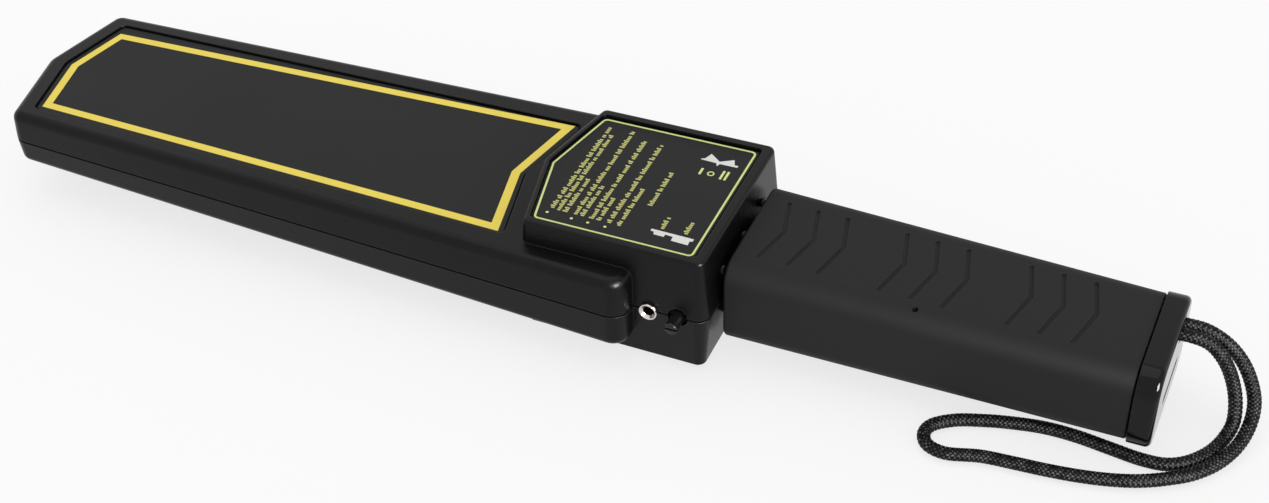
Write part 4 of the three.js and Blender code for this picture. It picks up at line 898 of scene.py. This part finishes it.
core_plastic = grained_moulding("core_plastic", (0.006, 0.006, 0.006), (0.01, 0.01, 0.01), 0.5, 0.5, 0.03)
dressed("handle_core", core_plastic)

# Case, upper shell: the paddle's top and the raised console in one moulding, with a sunk field for
# each label. Six bosses inside take the screws, and three holes in the rear wall hold the lamps.

scan_field = [
    (8.5, 0, 8), (15.13, -29.13, 2.5), (207.77, -31.65, 2.5),
    (200.5, 0, 5), (207.77, 31.65, 2.5), (15.13, 29.13, 2.5)]
control_field = [
    (209.8, 0, 5), (216.42, -29.5, 1.5), (272.6, -29.5, 1.5), (272.6, 29.5, 1.5), (216.42, 29.5, 1.5)]
scan_floor, control_floor = 35.1, 43.1
lamp_sides, lamp_height = (-18, 0, 18), 32.35


def sunk_field(name, corners, floor, top, flare, place=upright_place):
    """Cutter for a sunk field or groove, with a soft corner at its floor and a rounded upper edge."""
    rings = [(floor, drawn_in(corners, 0.2)), (floor + 0.06, drawn_in(corners, 0.06)),
             (floor + 0.2, corners)]
    rings += [(top - flare * fall, drawn_in(corners, -flare * inset)) for fall, inset in quarter_round(6)]
    rings.append((top + 1, drawn_in(corners, -flare)))
    return layered(name, rings, place)


paddle_rings = sloping(eased_edge(paddle_outline, seam_face(0, True), seam_ease, 0, False), seam_slope)
paddle_rings += eased_edge(paddle_outline, paddle_top, 3.4, paddle_draft, True)
console_rings = eased_edge(console_outline, seam_face(paddle_rear, True), seam_ease, 0.02, False)
console_rings += eased_edge(console_outline, case_height, 1.3, console_draft, True)
upper_shell = case_half("upper_shell_moulding", paddle_rings, console_rings, True)
cuts = [sunk_field("scan_field", scan_field, scan_floor, paddle_top, 0.3)]
cuts.append(sunk_field("control_field", control_field, control_floor, case_height, 0.35))
cuts += [rod("screw_hole", *screw_hole, x, y) for x, y in screw_places]
cuts += [rod("lamp_hole", 1.8, 0, 9, 272, y, lamp_height, "rearwards") for y in lamp_sides]
upper_shell = worked(upper_shell, "DIFFERENCE", *cuts, *wall_openings())
fitted(upper_shell, case_plastic, "case", "upper_shell", slot="case_plastic")

# Lamps: three small diffused lenses, green, red and amber, each with a flange behind the console's
# rear wall and a domed end that stands out over the handle's neck.


def tinted_lens(name, colour):
    """Diffused lens resin, dark while its lamp is off, with a faint streak from moulding."""
    finish = Finish(name, 0.32, Specular_IOR_Level=0.2, Transmission_Weight=0.2)
    return finish.done(finish.blend(finish.noise(500.0), tuple(0.6 * part for part in colour), colour))


lens_profile = [
    (0, 0), (1.5, 0), (1.6, 0.1), (1.6, 2.3), (1.9, 2.3), (1.95, 2.35), (1.95, 3.25), (1.9, 3.3), (1.6, 3.3)]
lens_profile += [(1.6 * (1 - inset), 5.4 + 1.6 * (1 - fall)) for fall, inset in quarter_round(10)]
lamp_colours = {"green": (0.004, 0.022, 0.009), "red": (0.034, 0.003, 0.003), "amber": (0.045, 0.018, 0.003)}
for y, (tint, colour) in zip(lamp_sides, lamp_colours.items()):
    lens = turned(f"{tint}_lens", lens_profile, 271.43, y, lamp_height, "rearwards", 40)
    fitted(lens, tinted_lens(f"lens_{tint}", colour), "case", f"led_{tint}", slot=f"lamp_{tint}")

# Case screws: six zinc-plated self-tapping screws with cross slots, driven from below. The same
# screw is copied to the six bosses.

zinc_steel = drawn_metal("zinc_steel", (0.5, 0.51, 0.52), (0.36, 0.37, 0.38), 0.32, 1800.0)
screw_profile = [(0, 16.0), (1.6, 16.0), (1.95, 16.15), (2.1, 16.5), (2.1, 17.5), (2.0, 17.6), (1.15, 17.6)]
for turn in range(12):
    root = 18.0 + turn * 0.9
    screw_profile += [(0.85, root), (0.85, root + 0.3), (1.15, root + 0.5), (1.15, root + 0.6)]
screw_profile += [(0.85, 28.7), (0.3, 29.6), (0, 29.8)]
screw = turned("screw", screw_profile, half_length, 0, 0, segments=24)
cross = [unit_block("arm", 2.6, 0.6, 15, 16.8), unit_block("arm", 0.6, 2.6, 15, 16.8)]
screw = worked(screw, "DIFFERENCE", *cross)
screws = copies("case_screws", screw, [(x, y, 0) for x, y in screw_places], zinc_steel)
fitted(screws, zinc_steel, "case", *[f"case_screw_{i}" for i in range(1, 7)], slot="zinc_steel")

# Labels: two die-cut matte films in the sunk fields. The paddle's has a broad yellow border. The
# console's has a thin border, two pictograms of the controls, and rows of small plain marks.

label_inset, film_thickness, ink_thickness = 0.75, 0.4, 0.03
scan_film_top, control_film_top = 35.8, 43.8
border_outline = [
    (11.1, 0, 0), (17.0, -26.4, 0), (204.8, -30.2, 0), (198.3, 0, 0), (204.6, 30.7, 0), (16.9, 24.2, 0)]
border_width = 3.05
line_outline = [
    (211.1, 0, 0.5), (217.4, -28.1, 2.2), (270.8, -28.1, 2.2), (270.8, 28.1, 2.2), (217.4, 28.1, 2.2)]
line_width = 0.7
print_rows = [
    (220.6, -21.8, 24.6), (222.9, -22.2, 21.8), (225.4, -22.2, -2.9), (228.85, -22.2, 25.0),
    (231.2, -22.2, -5.3), (234.6, -22.3, 22.2), (237.0, -22.3, -9.1), (240.55, -22.3, 21.4),
    (243.9, -22.5, -2.1), (249.3, -9.6, 9.0), (257.2, -19.0, -12.6), (265.0, -18.8, -11.8)]
bullets_at = [(220.15, -24.4), (228.7, -24.55), (234.4, -24.6), (240.3, -24.55)]
mode_places = [(257.7, 12.8, 0.8, 3.4), (264.8, 13.2, 0.8, 4.6), (266.3, 13.2, 0.8, 4.6)]
mark_width, mark_gap, word_gap, mark_base = 0.62, 0.27, 0.8, 0.75
mark_heights = (1.15, 1.7, 1.1, 1.2, 1.65, 1.15, 1.1, 1.75, 1.2, 1.1, 1.6)
word_lengths = (5, 2, 4, 7, 3, 6, 3, 8, 2, 5)
rocker_sign = [
    (255.16, 19.04), (256.45, 19.64), (257.55, 22.6), (261.45, 19.55), (265.63, 22.02), (266.67, 19.46),
    (267.9, 19.49), (267.94, 18.53), (261.95, 18.43), (261.44, 17.03), (260.73, 18.51), (255.49, 18.72)]
jack_sign = [
    (254.32, -20.07), (254.28, -21.04), (255.5, -21.27), (255.84, -22.44), (259.31, -22.49), (259.34, -21.3),
    (261.94, -21.46), (262.06, -23.4), (267.71, -23.63), (267.61, -21.57), (268.44, -21.6), (268.57, -20.27)]

label_film = grained_moulding(
    "label_film", (0.008, 0.008, 0.0086), (0.0105, 0.0105, 0.0112), 0.5, 0.12, 0.008, 0.16, 0.025)
yellow_ink = printed_ink("yellow_ink", (0.93, 0.74, 0.105))
line_ink = printed_ink("line_ink", (0.76, 0.83, 0.3))
mark_ink = printed_ink("mark_ink", (0.6, 0.6, 0.19))


def film(name, node, corners, top):
    cut = drawn_in(corners, label_inset)
    rings = [(top - film_thickness, cut), (top - 0.06, cut), (top, drawn_in(cut, 0.05))]
    return fitted(layered(name, rings), label_film, "case", node, slot="label_film")


def printed_band(name, outline, width, top, ink, corners_as_drawn):
    """A closed printed line that follows an outline, inside its outer edge."""
    inner = drawn_in(outline, width)
    loops = []
    ink_top = top + ink_thickness
    for corners, height in ((outline, top), (outline, ink_top), (inner, ink_top), (inner, top)):
        edge = [(x, y) for x, y, _ in corners] if corners_as_drawn else softened(corners)
        loops.append([upright_place(x, y, height) for x, y in edge])
    band = skinned(name, loops, closed=True)
    fitted(band, ink, "case", slot="label_film")


def printed_sign(name, outline, ink):
    loops = [[upright_place(x, y, height) for x, y in outline]
             for height in (control_film_top, control_film_top + ink_thickness)]
    fitted(skinned(name, loops), ink, "case", slot="label_film")


film("scan_label_film", "scan_label", scan_field, scan_film_top)
film("control_label_film", "control_label", control_field, control_film_top)
printed_band("scan_label_border", border_outline, border_width, scan_film_top, yellow_ink, True)
line_outer = drawn_in(line_outline, -line_width / 2)
printed_band("control_label_line", line_outer, line_width, control_film_top, line_ink, False)
printed_sign("rocker_pictogram", rocker_sign, white_ink)
printed_sign("jack_pictogram", jack_sign, white_ink)

places, stretches = [], []
for number, (x, start, end) in enumerate(print_rows):
    y, word = start, number * 3
    while y < end - mark_width:
        for mark in range(word_lengths[word % len(word_lengths)]):
            height = mark_heights[(word * 3 + mark * 4) % len(mark_heights)]
            if y < end - mark_width:
                places.append((x + mark_base - height / 2, y + mark_width / 2, control_film_top))
                stretches.append((height, mark_width, ink_thickness))
            y += mark_width + mark_gap
        y += word_gap
        word += 1
print_marks = copies(
    "control_label_marks", unit_block("unit_mark", 1, 1, 0, 1), places, mark_ink, stretches)
fitted(print_marks, mark_ink, "case", slot="label_film")
bullet = rod("bullet", 0.5, 0, ink_thickness, half_length, 0, segments=16)
bullet_places = [(x, y, control_film_top) for x, y in bullets_at]
bullets = copies("control_label_bullets", bullet, bullet_places, line_ink)
fitted(bullets, line_ink, "case", slot="label_film")
marks = copies(
    "mode_marks", unit_block("unit_mark", 1, 1, 0, 1),
    [(x, y, control_film_top) for x, y, _, _ in mode_places], line_ink,
    [(wide, long, ink_thickness) for _, _, wide, long in mode_places])
fitted(marks, line_ink, "case", slot="label_film")
off_ring = turned("off_mark", [
    (0.75, control_film_top), (1.2, control_film_top), (1.2, control_film_top + ink_thickness),
    (0.75, control_film_top + ink_thickness), (0.75, control_film_top)], 261.1, 12.6, 0, segments=32)
fitted(off_ring, line_ink, "case", slot="label_film")

# Grip sleeve: one moulding of dull soft rubber that is drawn over the core. Nine arrow-shaped
# grooves cross its top in three groups of three, and a pin gate left a small pit on its near corner.

grip_front, grip_rear = 279.5, 402.7
grip_half_rear, grip_half_gain = 22.1, 2.1
grip_low, grip_high, grip_drop, grip_rise = 6.3, 34.5, 1.0, 3.7
grip_corner, grip_ease, sleeve_wall = 7.0, 0.9, 2.4
chevron_front, chevron_pitch, chevron_group_pitch = 287.1, 9.6, 38.4
chevron_half, chevron_reach, chevron_point, chevron_depth = 0.75, 14.6, 3.4, 0.6
pit_place, pit_radius = (337.9, -18.2), 1.05


def grip_share(x):
    """How far a station lies from the grip's rear, as a share of its length."""
    return (grip_rear - x) / (grip_rear - grip_front)


def grip_section(x, inset):
    half = grip_half_rear + grip_half_gain * grip_share(x) - inset
    low = grip_low + grip_drop * grip_share(x) + inset
    return rectangle(-half, low, half, grip_top(x) - inset, max(grip_corner - inset, 0.5))


def grip_top(x):
    return grip_high + grip_rise * grip_share(x)


rubber = grained_moulding(
    "grip_rubber", (0.007, 0.007, 0.007), (0.0105, 0.0105, 0.0105), 0.6, 0.35, 0.02, 0.17, 0.026)
sleeve_rings = []
for fall, inset in quarter_round():
    x = grip_front + grip_ease * inset
    sleeve_rings.append((x, grip_section(x, grip_ease * fall)))
for share in (0.2, 0.4, 0.6, 0.8):
    x = grip_front + share * (grip_rear - grip_front)
    sleeve_rings.append((x, grip_section(x, 0)))
sleeve_rings += [(x, grip_section(x, inset)) for x, inset in (
    (grip_rear - 0.25, 0), (grip_rear, 0.25), (grip_rear, sleeve_wall), (grip_front, sleeve_wall))]
sleeve = layered("grip_sleeve_moulding", sleeve_rings, lengthwise_place, closed=True)
arrow = [
    (half_length - chevron_half, -chevron_reach, 0.2), (half_length + chevron_half, -chevron_reach, 0.2),
    (half_length + chevron_point + chevron_half, 0, 1.0), (half_length + chevron_half, chevron_reach, 0.2),
    (half_length - chevron_half, chevron_reach, 0.2), (half_length + chevron_point - chevron_half, 0, 1.0)]
groove = sunk_field("groove", arrow, -chevron_depth, 0, 0.12)
for vertex in groove.data.vertices:
    vertex.co.z -= (vertex.co.x - chevron_point / 2 * MM) * grip_rise / (grip_rear - grip_front)
groove_places = []
for group in range(3):
    for place in range(3):
        x = chevron_front + group * chevron_group_pitch + place * chevron_pitch
        groove_places.append((x, 0, grip_top(x + chevron_point / 2)))
grooves = copies("grooves", groove, groove_places, rubber)
pit = turned("pit", [
    (0, 34.6), (0.8 * pit_radius, 34.6), (pit_radius, 34.8), (pit_radius, 36.1), (1.15 * pit_radius, 38),
    (0, 38)], *pit_place, 0, segments=24)
sleeve = worked(sleeve, "DIFFERENCE", grooves, pit)
fitted(sleeve, rubber, "case", "grip_sleeve", slot="grip_rubber")

# Battery: a nine-volt block in a printed steel jacket with rolled ends, its two snap terminals
# towards the console. The moulded snap carries two flexible wires to the board.

battery_front, battery_rear = 345.6, 392.0
battery_low, battery_high, battery_half = 11.56, 29.06, 13.25
battery_middle = (battery_low + battery_high) / 2
terminal_side, terminal_reach = 6.35, 2.1


def battery_jacket(name):
    """Printed steel: a dark body and a copper-coloured band next to the terminals."""
    finish = Finish(name, 0.3, Metallic=0.6)
    band = finish.past("X", 357.0 - half_length, 357.2 - half_length)
    tone = finish.blend(band, (0.5, 0.22, 0.09), (0.035, 0.04, 0.05))
    return finish.done(tone, finish.ranged(finish.noise(250.0, 6.0), 0.35, 0.7, 0.22, 0.45))


battery_outline = rectangle(-battery_half, battery_low, battery_half, battery_high, 2)
rolled_end = ((0.5, 1.2), (0.5, 1.0), (0.1, 0.8), (0, 0.55), (0.1, 0.2), (0.5, 0), (1.6, 0), (1.9, 0.2))
battery_rings = [(battery_front + run, drawn_in(battery_outline, draw)) for run, draw in rolled_end]
battery_rings += [
    (battery_rear - run, drawn_in(battery_outline, draw)) for run, draw in reversed(rolled_end)]
jacket = battery_jacket("battery_jacket")
battery = layered("battery_block", battery_rings, lengthwise_place)
fitted(battery, jacket, "case", "battery_9v", slot="battery_jacket")
terminal = turned("terminal", [
    (0, 0), (2.4, 0), (2.7, 0.2), (2.8, 0.7), (2.4, 1.1), (2.4, 1.5), (3.3, 1.8), (3.4, 2.0), (3.4, 2.6),
    (0, 2.6)], half_length, 0, 0, "rearwards", 36)
terminal_places = [
    (battery_front - terminal_reach, side * terminal_side, battery_middle) for side in (-1, 1)]
terminals = copies("battery_terminals", terminal, terminal_places, solder)
fitted(terminals, solder, "case", slot="nickel")
dressed("battery_snap", core_plastic)
battery_route = [
    (265, 0, 20.75), (271, 0, 20.75), (278, 0, 20), (285.5, 0, 20), (335.6, 0, 20.31), (341.6, 0, 20.31)]
battery_colours = ((0.01,) * 3, (0.3, 0.01, 0.01))
twisted_lead("battery_lead_pair", "battery_lead", battery_route, battery_colours, "lead_red")

# Foam pad: a block of open-cell foam that keeps the battery from rattling. Its sides pull in where
# it was cut, and its faces crown a little.


def cell_foam(name):
    """Open-cell foam: fine pores, painted darker as shade in their hollows, over a soft grey body."""
    finish = Finish(name, 0.95, Specular_IOR_Level=0.1, Sheen_Weight=0.2)
    pores = finish.node("ShaderNodeTexVoronoi", {"Vector": finish.place, "Scale": 1600.0}, "Distance")
    # The pores are painted darker where the surface dips: painted shade.
    return finish.done(finish.blend(pores, (0.03, 0.03, 0.033), (0.13, 0.13, 0.14)), None, pores, 0.8, 0.3)


foam_outline = rectangle(-16.6, 11.8, 16.6, 29.0, 1.5)
foam_rings = [(x, drawn_in(foam_outline, draw)) for x, draw in (
    (392.3, 6.5), (392.34, 4.0), (392.5, 1.6), (392.75, 0.5), (393.1, 0.05), (393.45, 0.15), (393.8, 0.25),
    (394.15, 0.15), (394.5, 0.05), (394.85, 0.5), (395.1, 1.6), (395.26, 4.0), (395.3, 6.5))]
foam = layered("foam_block", foam_rings, lengthwise_place)
fitted(foam, cell_foam("foam_grey"), "case", "foam_pad", slot="foam_grey")

# Battery cover: a glossy moulded cap with a rounded rim, whose plug slides into the core. It has a
# grip slot for a coin, and a hole for the two ends of the wrist cord.

cap_front, cap_rear, cap_inside, cap_edge, cap_overhang = 403.1, 410.0, 407.4, 1.8, 0.8
plug_front, plug_back, plug_inset, plug_wall = 395.6, 405, 4.8, 1.6
pocket_front, coin_slot_depth = 402.1, 1.6
cord_side, cord_height = 8.0, 30.4


def slot_outline(half, rise, y, z, radius):
    return rectangle(y - half, z - rise, y + half, z + rise, radius)


cover_plastic = grained_moulding(
    "cover_plastic", (0.003, 0.003, 0.003), (0.005, 0.005, 0.005), 0.1, 2.5, 0.01, 0.17, 0.015)
cap_section = grip_section(grip_rear, -cap_overhang)
cap_rings = [(cap_front, drawn_in(cap_section, 0.25)), (cap_front + 0.08, drawn_in(cap_section, 0.08)),
             (cap_front + 0.25, cap_section)]
cap_rings += eased_edge(cap_section, cap_rear, cap_edge, 0, True)
cap = layered("cover_moulding", cap_rings, lengthwise_place)
plug_section = grip_section(grip_rear, plug_inset)
plug_rings = [
    (plug_front, drawn_in(plug_section, 0.4)), (plug_front + 0.4, plug_section),
    (plug_back, plug_section)]
cap = worked(cap, "UNION", layered("plug", plug_rings, lengthwise_place))
hollow = drawn_in(plug_section, plug_wall)
cuts = [layered("plug_hollow", [(394, hollow), (cap_inside, hollow)], lengthwise_place)]
pocket = slot_outline(5.75, 3.3, cord_side, cord_height, 0.4)
cuts.append(layered("knot_pocket", [(pocket_front, pocket), (cap_inside, pocket)], lengthwise_place))
hole = slot_outline(4.85, 2.5, cord_side, cord_height, 2.4)
cuts.append(sunk_field("cord_hole", hole, 407, cap_rear, 0.4, lengthwise_place))
coin_slot = slot_outline(10, 1.4, 0, 17, 0.9)
cuts.append(sunk_field("coin_slot", coin_slot, cap_rear - coin_slot_depth, cap_rear, 0.15, lengthwise_place))
cap = worked(cap, "DIFFERENCE", *cuts)
fitted(cap, cover_plastic, "battery_cover", "end_cap", slot="cover_plastic")

# Wrist cord: a limp braided nylon cord, eight yarns each way over a soft core. Both ends run into
# the cover's hole and are knotted behind it. The loop droops to the floor and lies along the wand.

cord_diameter, cord_yarns, cord_lay, yarn_height = 4.2, 8, 11.0, 0.34
cord_sides, cord_step = 60, 0.212
cord_route = [
    (-2.8, 10.3, 30.4), (0.9, 10.7, 30.4), (6.2, 11.6, 29.3), (12.3, 12.3, 25.6), (17.3, 12.5, 20.2),
    (20.9, 11.2, 14.7), (23.3, 7.9, 10.1), (23.9, 2.9, 6.8), (22.5, -5, 3.9), (18.6, -13.3, 2.4),
    (12.9, -20.7, 2.4), (6.8, -25.3, 2.4), (0.1, -29.1, 2.4), (-7.2, -31.8, 2.4), (-15.7, -33.8, 2.4),
    (-24.9, -35.1, 2.4), (-34.3, -35.9, 2.4), (-44.1, -36.9, 2.4), (-54.8, -39.7, 2.4), (-60, -38.1, 2.4),
    (-62.1, -34.4, 2.4), (-61.3, -30.2, 2.4), (-55.7, -25.4, 2.4), (-46.9, -21.9, 2.4), (-38.8, -19.7, 2.4),
    (-30.1, -18.2, 2.4), (-20.8, -18.2, 2.4), (-11.1, -19.4, 2.4), (-1.4, -20.5, 2.4), (5.2, -19.8, 2.4),
    (10.3, -16.7, 2.4), (15.3, -10.3, 2.4), (18.1, -3.3, 2.7), (19.3, 1.5, 5), (18.5, 5.2, 10.1),
    (16.2, 7.1, 16.6), (12.6, 7.4, 23.5), (8, 6.9, 28.5), (3.1, 6, 30.4), (-2.8, 5.7, 30.4)]

braid_tree, given = growing_tree(
    "braided_cord", Radius="Float", Sides="Int", Yarns="Float", Lay="Float", Yarn_Height="Float",
    Finish="Material")


def sums(operation, *values):
    return wired(braid_tree, "ShaderNodeMath", dict(enumerate(values)), operation=operation).outputs[0]


def stored(geometry, name, value):
    return wired(braid_tree, "GeometryNodeStoreNamedAttribute", {
        "Geometry": geometry, "Name": name, "Value": value}, data_type="FLOAT", domain="POINT").outputs[0]


def recalled(name):
    return wired(braid_tree, "GeometryNodeInputNamedAttribute", {"Name": name}, data_type="FLOAT").outputs[0]


cord_line = wired(braid_tree, "GeometryNodeMeshToCurve", {"Mesh": given["Geometry"]}).outputs[0]
along = braid_tree.nodes.new("GeometryNodeSplineParameter").outputs["Length"]
cord_line = stored(cord_line, "along", along)
cord_round = wired(braid_tree, "GeometryNodeCurvePrimitiveCircle", {
    "Resolution": given["Sides"], "Radius": given["Radius"]}).outputs["Curve"]
around = braid_tree.nodes.new("GeometryNodeSplineParameter").outputs["Factor"]
cord_round = stored(cord_round, "around", around)
cord_skin = wired(braid_tree, "GeometryNodeCurveToMesh", {
    "Curve": cord_line, "Profile Curve": cord_round, "Fill Caps": True}).outputs[0]
laid = sums("DIVIDE", recalled("along"), given["Lay"])
leftward = sums("MULTIPLY", sums("SUBTRACT", recalled("around"), laid), given["Yarns"])
rightward = sums("MULTIPLY", sums("ADD", recalled("around"), laid), given["Yarns"])
passes = sums("ADD", sums("FLOOR", leftward), sums("FLOOR", rightward))
over = sums("FLOORED_MODULO", passes, 2.0)


def yarn_rise(across, along):
    """A yarn's height: round across, and arched between the places where it dips under."""
    side = sums("SUBTRACT", sums("MULTIPLY", sums("FRACT", across), 2.0), 1.0)
    crown = sums("SQRT", sums("MAXIMUM", sums("SUBTRACT", 1.0, sums("MULTIPLY", side, side)), 0.0))
    arch = sums("SINE", sums("MULTIPLY", sums("FRACT", along), math.pi))
    return sums("MULTIPLY", crown, sums("MULTIPLY_ADD", arch, 0.65, 0.35))


rise = wired(braid_tree, "ShaderNodeMix", {
    "Factor": over, "A": yarn_rise(leftward, rightward), "B": yarn_rise(rightward, leftward)}).outputs[0]
cord_skin = stored(cord_skin, "crown", rise)
sink = sums("MULTIPLY", sums("SUBTRACT", rise, 1.0), given["Yarn Height"])
outwards = braid_tree.nodes.new("GeometryNodeInputNormal").outputs["Normal"]
offset = wired(braid_tree, "ShaderNodeVectorMath", {0: outwards, "Scale": sink}, operation="SCALE")
braided = wired(braid_tree, "GeometryNodeSetPosition", {"Geometry": cord_skin, "Offset": offset.outputs[0]})
ended(braid_tree, braided.outputs[0], given["Finish"])


def braid_nylon(name):
    """Black nylon yarns, dark in their gaps, with a painted highlight in flecks on their crowns and fine
    filaments.
    """
    finish = Finish(name, 0.4, Specular_IOR_Level=0.1)
    # The yarns' crowns are painted lighter in flecks: a painted highlight, not a lighter yarn.
    crown_highlight = finish.ranged(finish.stored("crown"), 0.6, 0.95)
    highlight_flecks = finish.ranged(finish.noise(500.0), 0.4, 0.68)
    tone = finish.blend(finish.math("MULTIPLY", crown_highlight, highlight_flecks), (0.0015,) * 3, (0.21, 0.205, 0.2))
    return finish.done(tone, None, finish.noise(5000.0), 0.4, 0.04)


cord_braid = braid_nylon("cord_braid")


def braided(name, points, sides, diameter, yarns, lay, height, closed=False):
    mesh = strand_mesh(name, [[(x - half_length, y, z) for x, y, z in points]], closed)
    return grown(name, mesh, braid_tree, {
        "Radius": diameter / 2 * MM, "Sides": sides, "Yarns": float(yarns), "Lay": lay * MM,
        "Yarn Height": height * MM, "Finish": cord_braid}, 180)


route = [(cap_rear + x, y, z) for x, y, z in cord_route]
_, cord_length = flowing(route, 2)
cord_points, cord_length = flowing(route, round(cord_length / cord_step))
cord = braided("wrist_cord_braid", cord_points, cord_sides, cord_diameter, cord_yarns, cord_lay, yarn_height)
fitted(cord, cord_braid, "battery_cover", "wrist_cord", slot="cord_braid")

knot_points = []
for i in range(160):
    t = 2 * math.pi * i / 160
    knot_points.append((
        405.3 + 0.75 * math.sin(3 * t), cord_side + 1.3 * (math.sin(t) + 2 * math.sin(2 * t)),
        cord_height + 0.6 * (math.cos(t) - 2 * math.cos(2 * t))))
knot = braided("wrist_cord_knot", knot_points, 24, 1.9, 8, 8.0, 0.15, True)
fitted(knot, cord_braid, "battery_cover", "cord_knot", slot="cord_braid")
cord_path = [upright_place(*point) for point in cord_points[::3]]
cord_path.append(upright_place(*cord_points[-1]))
